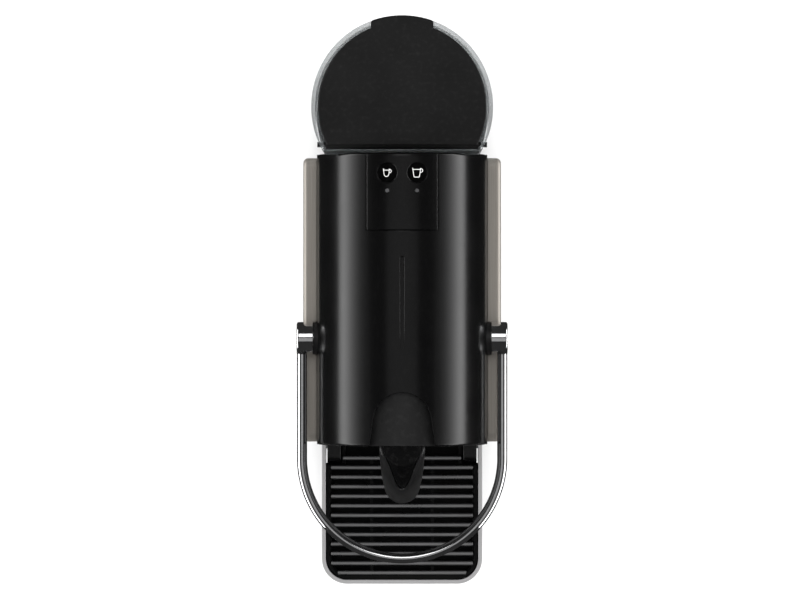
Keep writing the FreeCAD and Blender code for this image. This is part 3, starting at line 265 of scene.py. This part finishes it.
metals = {
    "panel_metal": {"dark": (0.314, 0.291, 0.262), "light": (0.370, 0.343, 0.310), "metal": 0.65,
                    "rough": (0.42, 0.46), "edge": 0.0005, "wear": 0.5, "across": 2600.0,
                    "along": 26.0, "bump": 0.04},
    "chrome": {"dark": (0.78, 0.78, 0.79), "light": (0.88, 0.88, 0.89), "metal": 1.0,
               "rough": (0.035, 0.075), "edge": 0.0003, "wear": 0.3, "across": 500.0,
               "along": 500.0, "bump": 0.004},
    "band_silver": {"dark": (0.39, 0.385, 0.388), "light": (0.45, 0.445, 0.448), "metal": 0.5,
                    "rough": (0.40, 0.46), "edge": 0.0005, "wear": 0.4, "across": 1800.0,
                    "along": 1800.0, "bump": 0.02},
    "steel": {"dark": (0.48, 0.48, 0.49), "light": (0.60, 0.60, 0.61), "metal": 0.85,
              "rough": (0.22, 0.32), "edge": 0.0003, "wear": 0.4, "across": 1600.0,
              "along": 60.0, "bump": 0.03},
    "heater_metal": {"dark": (0.44, 0.44, 0.45), "light": (0.56, 0.56, 0.57), "metal": 0.8,
                     "rough": (0.42, 0.55), "edge": 0.0005, "wear": 0.3, "across": 700.0,
                     "along": 700.0, "bump": 0.12},
    "pump_coil": {"dark": (0.30, 0.105, 0.045), "light": (0.46, 0.18, 0.080), "metal": 0.8,
                  "rough": (0.30, 0.42), "edge": 0.0003, "wear": 0.3, "across": 1200.0,
                  "along": 30.0, "bump": 0.08},
}

clears = {
    "tank_clear": {"dark": (0.43, 0.46, 0.47), "light": (0.50, 0.53, 0.54),
                   "rough": (0.03, 0.07), "ior": 1.49, "bump": 0.004, "grain": 300.0,
                   "thin": (0.06, 0.82)},
    "lamp_clear": {"dark": (0.060, 0.060, 0.062), "light": (0.105, 0.105, 0.110),
                   "rough": (0.25, 0.35), "ior": 1.46, "bump": 0.02, "grain": 900.0, "thin": None},
}

# some solids share a slot but not a finish: the lid is flat and dull, the shutter softer, the
# tray floor and the grid's ring nearly black, the spout insert dark and smooth
special = {
    "lidDull": {"dark": (0.0042, 0.0042, 0.0043), "light": (0.0062, 0.0062, 0.0063),
                "rough": (0.50, 0.60), "edge": 0.0005, "wear": 0.35, "dust": 0.03,
                "grain": 1500.0, "bump": 0.05, "shiny": 0.25},
    "shutterSatin": {"dark": (0.0034, 0.0034, 0.0036), "light": (0.0056, 0.0056, 0.0058),
                     "rough": (0.36, 0.46), "edge": 0.0004, "wear": 0.2, "dust": 0.03,
                     "grain": 1200.0, "bump": 0.04, "shiny": 0.6},
    "ringDark": {"dark": (0.0014, 0.0014, 0.0015), "light": (0.0028, 0.0028, 0.0029),
                 "rough": (0.38, 0.48), "edge": 0.0003, "wear": 0.3, "dust": 0.01,
                 "grain": 1100.0, "bump": 0.05, "shiny": 0.22},
    "insertGloss": {"dark": (0.0010, 0.0010, 0.0011), "light": (0.0019, 0.0019, 0.0020),
                    "rough": (0.16, 0.24), "edge": 0.0005, "wear": 0.2, "dust": 0.03,
                    "grain": 700.0, "bump": 0.012, "shiny": 0.13},
}
ownFinish = {"tank_lid": "lidDull", "capsule_shutter": "shutterSatin",
             "spout_insert": "insertGloss", "drip_tray": "ringDark"}


def startMaterial(name):
    material = bpy.data.materials.new(name)
    material.use_nodes = True
    tree = material.node_tree
    shader = tree.nodes["Principled BSDF"]
    shader.location = (500, 0)
    return material, tree, shader


def placeGroup(tree, key, x, y, **values):
    node = addNode(tree, "ShaderNodeGroup", x, y)
    node.node_tree = finishGroups[key]
    for label, value in values.items():
        node.inputs[label.replace("_", " ")].default_value = value
    return node


def blendColour(tree, mask, x, y, first, second):
    node = addNode(tree, "ShaderNodeMix", x, y, data_type="RGBA")
    for socket, colour in ((node.inputs[6], first), (node.inputs[7], second)):
        if isinstance(colour, tuple):
            socket.default_value = colour + (1.0,)
        else:
            link(tree, colour, socket)
    link(tree, mask, node.inputs[0])
    return node.outputs[2]


def bumpOnto(tree, shader, height, normal, strength, depth):
    bump = addNode(tree, "ShaderNodeBump", 250, -360)
    bump.inputs["Strength"].default_value = strength
    bump.inputs["Distance"].default_value = depth
    link(tree, height, bump.inputs["Height"])
    if normal is not None:
        link(tree, normal, bump.inputs["Normal"])
    link(tree, bump.outputs[0], shader.inputs["Normal"])


def smudgeOnto(tree, shader, rough, scale):
    smudge = placeGroup(tree, "smudge", -700, 240, Scale=scale, Low=rough[0], High=rough[1])
    link(tree, smudge.outputs[0], shader.inputs["Roughness"])


def tonedColour(tree, group, spec, span):
    tone = rangeNode(tree, group.outputs["Tone"], -460, 60, span)
    return blendColour(tree, tone, -220, 100, spec["dark"], spec["light"])


# how the shared effects are set in each kind of finish
# crown: how far up a face must point to take the grid bars' painted highlight
mouldFeel = {"patch": 24.0, "smudge": 38.0, "tones": (0.38, 0.62), "crown": (0.72, 0.99),
             "wornGain": 2.2, "wornLift": 0.004, "dustColour": (0.16, 0.155, 0.15),
             "depth": 0.0002}
metalFeel = {"smudge": 30.0, "tones": (0.36, 0.64), "polish": 1.25, "depth": 0.0002}
clearFeel = {"patch": 18.0, "smudge": 26.0, "tones": (0.38, 0.62), "turn": 0.35,
             "through": 0.35, "depth": 0.0002}


def mouldedFinish(name, spec):
    feel = mouldFeel
    material, tree, shader = startMaterial(name)
    grain = placeGroup(tree, "grain", -700, 0, Grain_scale=spec["grain"],
                       Patch_scale=feel["patch"])
    edge = placeGroup(tree, "edge", -700, -240, Edge_radius=spec["edge"], Wear=spec["wear"])
    dust = placeGroup(tree, "dust", -700, -440, Amount=spec["dust"])
    base = tonedColour(tree, grain, spec, feel["tones"])
    if "rub" in spec:
        # painted highlight: the bars' up-facing crowns take a paler colour that stands in for
        # light falling on their tops
        rub = placeGroup(tree, "rub", -700, -620, Low=feel["crown"][0], High=feel["crown"][1])
        base = blendColour(tree, rub.outputs["Mask"], -100, 260, base, spec["rub"])
    worn = tuple(min(1.0, c * feel["wornGain"] + feel["wornLift"]) for c in spec["light"])
    base = blendColour(tree, edge.outputs["Mask"], 0, 100, base, worn)
    base = blendColour(tree, dust.outputs["Mask"], 200, 100, base, feel["dustColour"])
    link(tree, base, shader.inputs["Base Color"])
    smudgeOnto(tree, shader, spec["rough"], feel["smudge"])
    shader.inputs["Specular IOR Level"].default_value = spec["shiny"]
    bumpOnto(tree, shader, grain.outputs["Height"], edge.outputs["Normal"], spec["bump"],
             feel["depth"])
    return material


def metalFinish(name, spec):
    feel = metalFeel
    material, tree, shader = startMaterial(name)
    brush = placeGroup(tree, "brush", -700, 0, Across=spec["across"], Along=spec["along"])
    edge = placeGroup(tree, "edge", -700, -240, Edge_radius=spec["edge"], Wear=spec["wear"])
    base = tonedColour(tree, brush, spec, feel["tones"])
    polished = tuple(min(1.0, c * feel["polish"]) for c in spec["light"])
    base = blendColour(tree, edge.outputs["Mask"], 0, 100, base, polished)
    link(tree, base, shader.inputs["Base Color"])
    smudgeOnto(tree, shader, spec["rough"], feel["smudge"])
    shader.inputs["Metallic"].default_value = spec["metal"]
    bumpOnto(tree, shader, brush.outputs["Height"], edge.outputs["Normal"], spec["bump"],
             feel["depth"])
    return material


def clearFinish(name, spec):
    feel = clearFeel
    material, tree, shader = startMaterial(name)
    grain = placeGroup(tree, "grain", -700, 0, Grain_scale=spec["grain"],
                       Patch_scale=feel["patch"])
    link(tree, tonedColour(tree, grain, spec, feel["tones"]), shader.inputs["Base Color"])
    smudgeOnto(tree, shader, spec["rough"], feel["smudge"])
    shader.inputs["IOR"].default_value = spec["ior"]
    if spec["thin"]:
        # a thin wall: clear face on, more solid where it turns away
        facing = addNode(tree, "ShaderNodeLayerWeight", -460, -300)
        facing.inputs["Blend"].default_value = feel["turn"]
        cover = rangeNode(tree, facing.outputs["Facing"], -220, -300, (0.0, 1.0), spec["thin"])
        link(tree, cover, shader.inputs["Alpha"])
    else:
        shader.inputs["Transmission Weight"].default_value = feel["through"]
    bumpOnto(tree, shader, grain.outputs["Height"], None, spec["bump"], feel["depth"])
    return material


kinds = ((finishes, mouldedFinish), (metals, metalFinish), (clears, clearFinish),
         (special, mouldedFinish))
looks = {name: make(name, spec) for table, make in kinds for name, spec in table.items()}

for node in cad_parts.values():
    for index, old in enumerate(node.data.materials):
        finish = ownFinish.get(node.name, old.name.split(".")[0])
        node.data.materials[index] = looks[finish]
print("finishes on the solids:", len(looks))


printSpec = {"dark": (0.72, 0.72, 0.71), "light": (0.86, 0.86, 0.85), "grain": 2600.0,
             "patch": 300.0, "tones": (0.38, 0.62), "heights": (0.3, 0.7), "rough": (0.45, 0.6),
             "bump": 0.05, "depth": 0.0001}


def printFinish(name, spec):
    material, tree, shader = startMaterial(name)
    grain = placeGroup(tree, "grain", -700, 0, Grain_scale=spec["grain"],
                       Patch_scale=spec["patch"])
    link(tree, tonedColour(tree, grain, spec, spec["tones"]), shader.inputs["Base Color"])
    rough = rangeNode(tree, grain.outputs["Height"], -220, 320, spec["heights"], spec["rough"])
    link(tree, rough, shader.inputs["Roughness"])
    bumpOnto(tree, shader, grain.outputs["Height"], None, spec["bump"], spec["depth"])
    return material


printWhite = printFinish("printWhite", printSpec)


# mesh helpers

weld = 1e-7  # metres between points that are one


def meshObject(name, material, verts, faces, smoothAngle=40.0):
    mesh = bpy.data.meshes.new(name)
    mesh.from_pydata([tuple(Vector(v) * mm) for v in verts], [], faces)
    shape = bmesh.new()
    shape.from_mesh(mesh)
    bmesh.ops.remove_doubles(shape, verts=shape.verts, dist=weld)
    bmesh.ops.recalc_face_normals(shape, faces=shape.faces)
    shape.to_mesh(mesh)
    shape.free()
    finishMesh(mesh, material, smoothAngle)
    piece = bpy.data.objects.new(name, mesh)
    bpy.context.collection.objects.link(piece)
    return piece


def finishMesh(mesh, material, smoothAngle):
    mesh.materials.clear()
    mesh.materials.append(material)
    for face in mesh.polygons:
        face.use_smooth = True
    mesh.set_sharp_from_angle(angle=math.radians(smoothAngle))


def bakeTree(piece, tree, values, material, smoothAngle=40.0):
    modifier = piece.modifiers.new("shape", "NODES")
    modifier.node_group = tree
    for item in tree.interface.items_tree:
        if item.in_out == "INPUT" and item.name in values:
            modifier[item.identifier] = values[item.name]
    graph = bpy.context.evaluated_depsgraph_get()
    mesh = bpy.data.meshes.new_from_object(piece.evaluated_get(graph))
    piece.modifiers.remove(modifier)
    old = piece.data
    piece.data = mesh
    bpy.data.meshes.remove(old)
    finishMesh(mesh, material, smoothAngle)
    return piece


def newShapeTree(name, inputs):
    tree = bpy.data.node_groups.new(name, "GeometryNodeTree")
    tree.interface.new_socket("Geometry", in_out="INPUT", socket_type="NodeSocketGeometry")
    for label, kind in inputs:
        tree.interface.new_socket(label, in_out="INPUT", socket_type=kind)
    tree.interface.new_socket("Geometry", in_out="OUTPUT", socket_type="NodeSocketGeometry")
    start = addNode(tree, "NodeGroupInput", -900, 0)
    end = addNode(tree, "NodeGroupOutput", 900, 0)
    return tree, start, end


def endTree(tree, geometry, start, end):
    real = addNode(tree, "GeometryNodeRealizeInstances", 500, 0)
    paint = addNode(tree, "GeometryNodeSetMaterial", 700, 0)
    link(tree, geometry, real.inputs[0])
    link(tree, real.outputs[0], paint.inputs["Geometry"])
    link(tree, start.outputs["Finish"], paint.inputs["Material"])
    link(tree, paint.outputs[0], end.inputs[0])


# the lever's bail: a rod swept along two arms and a half-circle bow
bailSpec = {"armX": 56.35, "startY": -22.9, "bowY": -84.4, "axisZ": 186.0, "rodRadius": 2.85,
            "bowSteps": 96, "roundSteps": 32}


def makeRodTree():
    tree, start, end = newShapeTree("sweptRod", [("Rod radius", "NodeSocketFloat"),
                                                 ("Round steps", "NodeSocketInt"),
                                                 ("Finish", "NodeSocketMaterial")])
    path = addNode(tree, "GeometryNodeMeshToCurve", -600, 100)
    circle = addNode(tree, "GeometryNodeCurvePrimitiveCircle", -600, -160)
    sweep = addNode(tree, "GeometryNodeCurveToMesh", -300, 0)
    sweep.inputs["Fill Caps"].default_value = True
    smooth = addNode(tree, "GeometryNodeSetShadeSmooth", 0, 0)
    link(tree, start.outputs["Geometry"], path.inputs[0])
    link(tree, start.outputs["Rod radius"], circle.inputs["Radius"])
    link(tree, start.outputs["Round steps"], circle.inputs["Resolution"])
    link(tree, path.outputs[0], sweep.inputs["Curve"])
    link(tree, circle.outputs[0], sweep.inputs["Profile Curve"])
    link(tree, sweep.outputs[0], smooth.inputs["Geometry"])
    endTree(tree, smooth.outputs[0], start, end)
    return tree


rodTree = makeRodTree()


def pathObject(name, points):
    mesh = bpy.data.meshes.new(name)
    mesh.from_pydata([tuple(Vector(p) * mm) for p in points],
                     [(i, i + 1) for i in range(len(points) - 1)], [])
    piece = bpy.data.objects.new(name, mesh)
    bpy.context.collection.objects.link(piece)
    return piece


def makeBail(spec):
    points = [(spec["armX"], spec["startY"], spec["axisZ"])]
    for k in range(spec["bowSteps"] + 1):
        turn = math.pi * k / spec["bowSteps"]
        points.append((spec["armX"] * math.cos(turn),
                       spec["bowY"] - spec["armX"] * math.sin(turn), spec["axisZ"]))
    points.append((-spec["armX"], spec["startY"], spec["axisZ"]))
    piece = pathObject("leverRod", points)
    values = {"Rod radius": spec["rodRadius"] * mm, "Round steps": spec["roundSteps"],
              "Finish": looks["chrome"]}
    return bakeTree(piece, rodTree, values, looks["chrome"])


bail = makeBail(bailSpec)
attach(bail, "lever")
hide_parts("lever_bail")
print("lever rod:", len(bail.data.polygons), "faces")


# the brew hose goes to the capsule carriage; here it is swept once along a fixed path with rounded
# bends
hoseSpec = {"corners": [(0.0, -25.4, 186.0), (0.0, -13.4, 186.0), (0.0, -13.4, 140.0),
                        (-19.0, -13.4, 140.0), (-19.0, 18.0, 140.0)],
            "bend": 5.0, "bendSteps": 10, "leanSteps": 12, "radius": 3.0, "roundSteps": 20,
            "stays": 143.5, "follows": 164.0}


def bentPath(spec):
    corners = [Vector(p) for p in spec["corners"]]
    points = [corners[0]]
    for index in range(1, len(corners) - 1):
        before, corner, after = corners[index - 1:index + 2]
        into = (corner - before).normalized()
        out = (after - corner).normalized()
        centre = corner - into * spec["bend"] + out * spec["bend"]
        for k in range(spec["bendSteps"] + 1):
            turn = math.pi / 2 * k / spec["bendSteps"]
            points.append(centre - out * spec["bend"] * math.cos(turn)
                          + into * spec["bend"] * math.sin(turn))
        if index == 1:
            # short steps along the upright
            high = points[-1]
            low = after - out * spec["bend"]
            steps = spec["leanSteps"]
            points.extend(high.lerp(low, j / steps) for j in range(1, steps))
    points.append(corners[-1])
    return points


def makeHose(spec):
    piece = pathObject("brewHoseRun", bentPath(spec))
    values = {"Rod radius": spec["radius"] * mm, "Round steps": spec["roundSteps"],
              "Finish": looks["rubber"]}
    return bakeTree(piece, rodTree, values, looks["rubber"])


brewHose = makeHose(hoseSpec)
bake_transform(brewHose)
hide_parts("brew_hose")
print("brew hose:", len(brewHose.data.polygons), "faces")


# the drip grid: round-topped bars on a thin ring, two keels below them
gridSpec = {"count": 13, "pitch": 5.66, "firstY": -88.7, "half": 42.0, "firstHalf": 35.0,
            "lastHalf": 38.0, "width": 2.8, "height": 3.4, "topZ": 43.4, "roundSteps": 10,
            "crown": 0.92, "endSize": 0.78, "endLong": 0.5, "ringInset": 2.55, "ringWide": 2.4,
            "ringLow": 38.2, "ringHigh": 41.4, "ringEdge": 0.4, "rear": -92.6, "keelX": 18.0,
            "keelHalf": 0.8, "keelTop": 40.1}
traySpec = {"half": 47.4, "front": -163.0, "corner": 14.8}


def makeBar(spec):
    half = spec["width"] / 2
    section = [(-half, 0.0)]
    crown = half * spec["crown"]
    for k in range(spec["roundSteps"] + 1):
        turn = math.pi * (1 - k / spec["roundSteps"])
        section.append((half * math.cos(turn), spec["height"] - crown + crown * math.sin(turn)))
    section.append((half, 0.0))
    count = len(section)
    full = spec["half"] - spec["endLong"]
    ends = ((-spec["half"], spec["endSize"]), (-full, 1.0), (full, 1.0),
            (spec["half"], spec["endSize"]))
    verts = []
    for x, size in ends:
        for y, z in section:
            verts.append((x, y * size, spec["height"] / 2 + (z - spec["height"] / 2) * size))
    faces = []
    for row in range(len(ends) - 1):
        for k in range(count):
            n = (k + 1) % count
            faces.append((row * count + k, row * count + n, (row + 1) * count + n,
                          (row + 1) * count + k))
    faces.append(tuple(range(count)))
    faces.append(tuple(range((len(ends) - 1) * count, len(ends) * count)))
    return meshObject("gridBar", looks["grid_satin"], verts, faces)


def makeRowTree():
    tree, start, end = newShapeTree("barRow", [("Bar", "NodeSocketObject"),
                                               ("Count", "NodeSocketInt"),
                                               ("Start", "NodeSocketVector"),
                                               ("Step", "NodeSocketVector"),
                                               ("First length", "NodeSocketFloat"),
                                               ("Last length", "NodeSocketFloat"),
                                               ("Finish", "NodeSocketMaterial")])
    row = addNode(tree, "GeometryNodeMeshLine", -600, 100)
    bar = addNode(tree, "GeometryNodeObjectInfo", -600, -200)
    index = addNode(tree, "GeometryNodeInputIndex", -800, -400)
    isFirst = addNode(tree, "FunctionNodeCompare", -600, -400, data_type="INT", operation="EQUAL")
    isLast = addNode(tree, "FunctionNodeCompare", -600, -600, data_type="INT", operation="EQUAL")
    lastIndex = addNode(tree, "ShaderNodeMath", -800, -600, operation="SUBTRACT")
    lastIndex.inputs[1].default_value = 1.0
    pickFirst = addNode(tree, "GeometryNodeSwitch", -380, -400, input_type="FLOAT")
    pickLast = addNode(tree, "GeometryNodeSwitch", -180, -500, input_type="FLOAT")
    pickFirst.inputs["False"].default_value = 1.0
    size = addNode(tree, "ShaderNodeCombineXYZ", 0, -400)
    size.inputs["Y"].default_value = 1.0
    size.inputs["Z"].default_value = 1.0
    place = addNode(tree, "GeometryNodeInstanceOnPoints", 200, 0)
    link(tree, start.outputs["Count"], row.inputs["Count"])
    link(tree, start.outputs["Start"], row.inputs["Start Location"])
    link(tree, start.outputs["Step"], row.inputs["Offset"])
    link(tree, start.outputs["Bar"], bar.inputs["Object"])
    link(tree, index.outputs[0], isFirst.inputs[2])
    link(tree, start.outputs["Count"], lastIndex.inputs[0])
    link(tree, index.outputs[0], isLast.inputs[2])
    link(tree, lastIndex.outputs[0], isLast.inputs[3])
    link(tree, isFirst.outputs[0], pickFirst.inputs["Switch"])
    link(tree, start.outputs["First length"], pickFirst.inputs["True"])
    link(tree, isLast.outputs[0], pickLast.inputs["Switch"])
    link(tree, pickFirst.outputs[0], pickLast.inputs["False"])
    link(tree, start.outputs["Last length"], pickLast.inputs["True"])
    link(tree, pickLast.outputs[0], size.inputs["X"])
    link(tree, row.outputs[0], place.inputs["Points"])
    link(tree, bar.outputs["Geometry"], place.inputs["Instance"])
    link(tree, size.outputs[0], place.inputs["Scale"])
    endTree(tree, place.outputs[0], start, end)
    return tree


def trayOutline(inset, rear, steps=10):
    half = traySpec["half"] - inset
    front = traySpec["front"] + inset
    corner = traySpec["corner"] - inset
    points = [(half, rear)]
    for sign, low, high in ((1, 0.0, -90.0), (-1, -90.0, -180.0)):
        for k in range(steps + 1):
            turn = math.radians(low + (high - low) * k / steps)
            points.append((sign * (half - corner) + corner * math.cos(turn),
                           front + corner + corner * math.sin(turn)))
    points.append((-half, rear))
    return points


def closedRing(outer, inner, low, high, edge):
    verts = []
    faces = []
    loops = []
    for points, z, shift in ((outer, low, 0.0), (outer, high - edge, 0.0), (outer, high, edge),
                             (inner, high, -edge), (inner, high - edge, 0.0), (inner, low, 0.0)):
        cx = sum(p[0] for p in points) / len(points)
        cy = sum(p[1] for p in points) / len(points)
        loop = []
        for x, y in points:
            way = Vector((cx - x, cy - y))
            way.normalize()
            loop.append(len(verts))
            verts.append((x + way.x * shift, y + way.y * shift, z))
        loops.append(loop)
    count = len(outer)
    for a, b in zip(loops, loops[1:] + loops[:1]):
        for k in range(count):
            n = (k + 1) % count
            faces.append((a[k], a[n], b[n], b[k]))
    return verts, faces


def boxMesh(x, y, z):
    verts = [(a, b, c) for c in z for b in y for a in x]
    faces = [(0, 1, 3, 2), (4, 6, 7, 5), (0, 4, 5, 1), (2, 3, 7, 6), (0, 2, 6, 4), (1, 5, 7, 3)]
    return verts, faces


def addMesh(verts, faces, more):
    base = len(verts)
    verts.extend(more[0])
    faces.extend(tuple(base + i for i in face) for face in more[1])


def makeGrid(spec):
    bar = makeBar(spec)
    row = pathObject("gridBars", [(0, 0, 0), (0, 0, 1)])
    values = {"Bar": bar, "Count": spec["count"],
              "Start": Vector((0, spec["firstY"], spec["topZ"] - spec["height"])) * mm,
              "Step": Vector((0, -spec["pitch"], 0)) * mm,
              "First length": spec["firstHalf"] / spec["half"],
              "Last length": spec["lastHalf"] / spec["half"], "Finish": looks["grid_satin"]}
    bars = bakeTree(row, makeRowTree(), values, looks["grid_satin"])
    bpy.data.objects.remove(bar)
    outer = trayOutline(spec["ringInset"], spec["rear"])
    inner = trayOutline(spec["ringInset"] + spec["ringWide"], spec["rear"] - spec["ringWide"])
    verts, faces = closedRing(outer, inner, spec["ringLow"], spec["ringHigh"], spec["ringEdge"])
    last = spec["firstY"] - spec["pitch"] * (spec["count"] - 1)
    for x in (-spec["keelX"], spec["keelX"]):
        wide = (x - spec["keelHalf"], x + spec["keelHalf"])
        addMesh(verts, faces, boxMesh(wide, (last, spec["firstY"]),
                                      (spec["ringLow"], spec["keelTop"])))
    under = meshObject("gridRing", looks["ringDark"], verts, faces)
    return bars, under


gridBars, gridRing = makeGrid(gridSpec)
for piece in (gridBars, gridRing):
    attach(piece, "tray")
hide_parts("drip_grid")
print("drip grid:", gridSpec["count"], "bars")


# the two cup pictures printed on the buttons, bent over the vault
cupSpec = {"radius": 47.9, "centreZ": 187.1, "buttonX": 8.3, "buttonY": 75.3, "line": 0.165,
           "proud": 0.03, "sunk": 0.08, "rounds": {"bowl": 2, "level": 1, "handle": 2}}
smallCup = {"name": "smallCupPrint", "body": "small_button", "side": -1,
            "bowl": [(-2.05, 2.2), (-1.95, 1.0), (-1.8, -0.6), (-1.55, -1.5), (-1.0, -2.05),
                     (-0.4, -2.2), (0.2, -2.05), (0.75, -1.5), (1.0, -0.6), (1.1, 1.0),
                     (1.15, 2.1)],
            "level": [(-1.9, 1.35), (1.1, 1.35)],
            "handle": [(1.15, 1.85), (1.9, 1.55), (2.35, 0.95), (2.2, 0.3), (1.7, -0.1),
                       (1.05, -0.25)]}
largeCup = {"name": "largeCupPrint", "body": "large_button", "side": 1,
            "bowl": [(-2.5, 2.6), (-2.2, 0.6), (-1.82, -1.9), (-1.7, -2.4), (-1.2, -2.5),
                     (0.7, -2.5), (1.2, -2.4), (1.32, -1.9), (1.7, 0.6), (1.9, 2.5)],
            "level": [(-2.4, 1.75), (1.85, 1.75)],
            "handle": [(1.9, 2.2), (2.7, 1.95), (3.15, 1.35), (2.95, 0.6), (2.35, 0.15),
                       (1.65, 0.1)]}


def strokeOutline(points, width):
    left = []
    right = []
    for k, point in enumerate(points):
        before = Vector(points[max(k - 1, 0)])
        after = Vector(points[min(k + 1, len(points) - 1)])
        way = after - before
        way.normalize()
        side = Vector((-way.y, way.x)) * width
        left.append(Vector(point) + side)
        right.append(Vector(point) - side)
    return left, right


def smoothLine(points, rounds):
    near, far = 0.75, 0.25  # each corner is cut a quarter of the way along
    for _ in range(rounds):
        finer = [points[0]]
        for a, b in zip(points, points[1:]):
            finer.append((a[0] * near + b[0] * far, a[1] * near + b[1] * far))
            finer.append((a[0] * far + b[0] * near, a[1] * far + b[1] * near))
        finer.append(points[-1])
        points = finer
    return points


def makeCup(spec):
    verts = []
    faces = []

    def lay(point, lift):
        x = spec["side"] * cupSpec["buttonX"] + point[0]
        z = cupSpec["centreZ"] + math.sqrt(cupSpec["radius"] ** 2 - x * x) + lift
        return (x, cupSpec["buttonY"] + point[1], z)

    for key, rounds in cupSpec["rounds"].items():
        left, right = strokeOutline(smoothLine(spec[key], rounds), cupSpec["line"])
        base = len(verts)
        for a, b in zip(left, right):
            verts.extend([lay(a, cupSpec["proud"]), lay(b, cupSpec["proud"]),
                          lay(b, -cupSpec["sunk"]), lay(a, -cupSpec["sunk"])])
        for k in range(len(left) - 1):
            low = base + 4 * k
            for c in range(4):
                d = (c + 1) % 4
                faces.append((low + c, low + d, low + 4 + d, low + 4 + c))
        end = base + 4 * (len(left) - 1)
        faces.append((base, base + 1, base + 2, base + 3))
        faces.append((end, end + 1, end + 2, end + 3))
    return meshObject(spec["name"], printWhite, verts, faces)


for spec in (smallCup, largeCup):
    cup = makeCup(spec)
    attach(cup, spec["body"])
print("cup pictures printed")


# floor, light and camera
# fill lights the object, mirror is what glossy faces see of the same sky
stageSpec = {"floorHalf": 3.0, "floorColour": (0.90, 0.90, 0.90), "floorDim": 0.985,
             "floorRough": 0.9, "floorGrain": 60.0, "floorPatch": 2.0, "fill": 1.5,
             "mirror": 0.028}


def makeFloor(spec):
    material, tree, shader = startMaterial("floorPale")
    grain = placeGroup(tree, "grain", -500, 0, Grain_scale=spec["floorGrain"],
                       Patch_scale=spec["floorPatch"])
    low = tuple(c * spec["floorDim"] for c in spec["floorColour"])
    link(tree, blendColour(tree, grain.outputs["Tone"], -200, 0, low, spec["floorColour"]),
         shader.inputs["Base Color"])
    shader.inputs["Roughness"].default_value = spec["floorRough"]
    shader.inputs["Specular IOR Level"].default_value = 0.0
    half = spec["floorHalf"] / mm
    corners = [(-half, -half, 0), (half, -half, 0), (half, half, 0), (-half, half, 0)]
    floor = meshObject("studioFloor", material, corners, [(0, 1, 2, 3)])
    floor.visible_glossy = False


def makeWorld(spec):
    world = bpy.data.worlds.new("studio")
    bpy.context.scene.world = world
    world.use_nodes = True
    tree = world.node_tree
    back = tree.nodes["Background"]
    back.inputs["Color"].default_value = (1.0, 1.0, 1.0, 1.0)
    path = addNode(tree, "ShaderNodeLightPath", -600, 0)
    strength = addNode(tree, "ShaderNodeMix", -300, 0, data_type="FLOAT")
    strength.inputs[2].default_value = spec["fill"]
    strength.inputs[3].default_value = spec["mirror"]
    link(tree, path.outputs["Is Glossy Ray"], strength.inputs[0])
    link(tree, strength.outputs[0], back.inputs["Strength"])


# each card: place, where it points, size across and up, brightness
cards = [
    {"name": "overhead", "at": (0, -0.4, 3.3), "to": (0, -0.4, 0.0), "size": (2.4, 1.4),
     "glow": 0.30},
    {"name": "backTop", "at": (0, 1.05, 2.8), "to": (0, 0, 0.15), "size": (0.9, 1.1), "glow": 1.7},
]
# the side cards stand edge to edge from the horizon up, each dimmer than the one below
sideBands = {"away": 1.3, "long": 2.6, "eyeZ": 0.215, "steps": 10, "stepDeg": 5.2,
             "firstDeg": -4.6,
             "glow": (3.6, 5.2, 4.3, 3.0, 1.95, 1.2, 0.65, 0.34, 0.14, 0.06)}
for k in range(sideBands["steps"]):
    low = math.radians(sideBands["firstDeg"] + k * sideBands["stepDeg"])
    high = math.radians(sideBands["firstDeg"] + (k + 1) * sideBands["stepDeg"])
    middle = (low + high) / 2
    up = sideBands["away"] * (math.tan(high) - math.tan(low)) * math.cos(middle)
    for side in (-1, 1):
        cards.append({"name": "sideCard%d%s" % (k, "R" if side > 0 else "L"),
                      "at": (side * sideBands["away"], 0.0,
                             sideBands["eyeZ"] + sideBands["away"] * math.tan(middle)),
                      "to": (0, 0, sideBands["eyeZ"]), "size": (sideBands["long"], up),
                      "glow": sideBands["glow"][k]})


def makeCard(spec):
    light = bpy.data.lights.new(spec["name"], "AREA")
    light.shape = "RECTANGLE"
    light.size = spec["size"][0]
    light.size_y = spec["size"][1]
    light.energy = spec["glow"] * math.pi * spec["size"][0] * spec["size"][1]
    piece = bpy.data.objects.new(spec["name"], light)
    bpy.context.collection.objects.link(piece)
    piece.location = spec["at"]
    way = Vector(spec["to"]) - Vector(spec["at"])
    piece.rotation_euler = way.to_track_quat("-Z", "Y").to_euler()
    piece.visible_camera = False


cameraSpec = {"at": (-0.0012, 0.004775, 3.0), "sensor": 36.0, "lens": 224.9, "far": 20.0}


def makeCamera(spec):
    view = bpy.data.cameras.new("photoCamera")
    view.sensor_width = spec["sensor"]
    view.lens = spec["lens"]
    view.clip_end = spec["far"]
    piece = bpy.data.objects.new("photoCamera", view)
    bpy.context.collection.objects.link(piece)
    piece.location = spec["at"]
    bpy.context.scene.camera = piece


makeFloor(stageSpec)
makeWorld(stageSpec)
for spec in cards:
    makeCard(spec)
makeCamera(cameraSpec)
bpy.context.scene.view_settings.view_transform = "Standard"
print("stage, light and camera set")
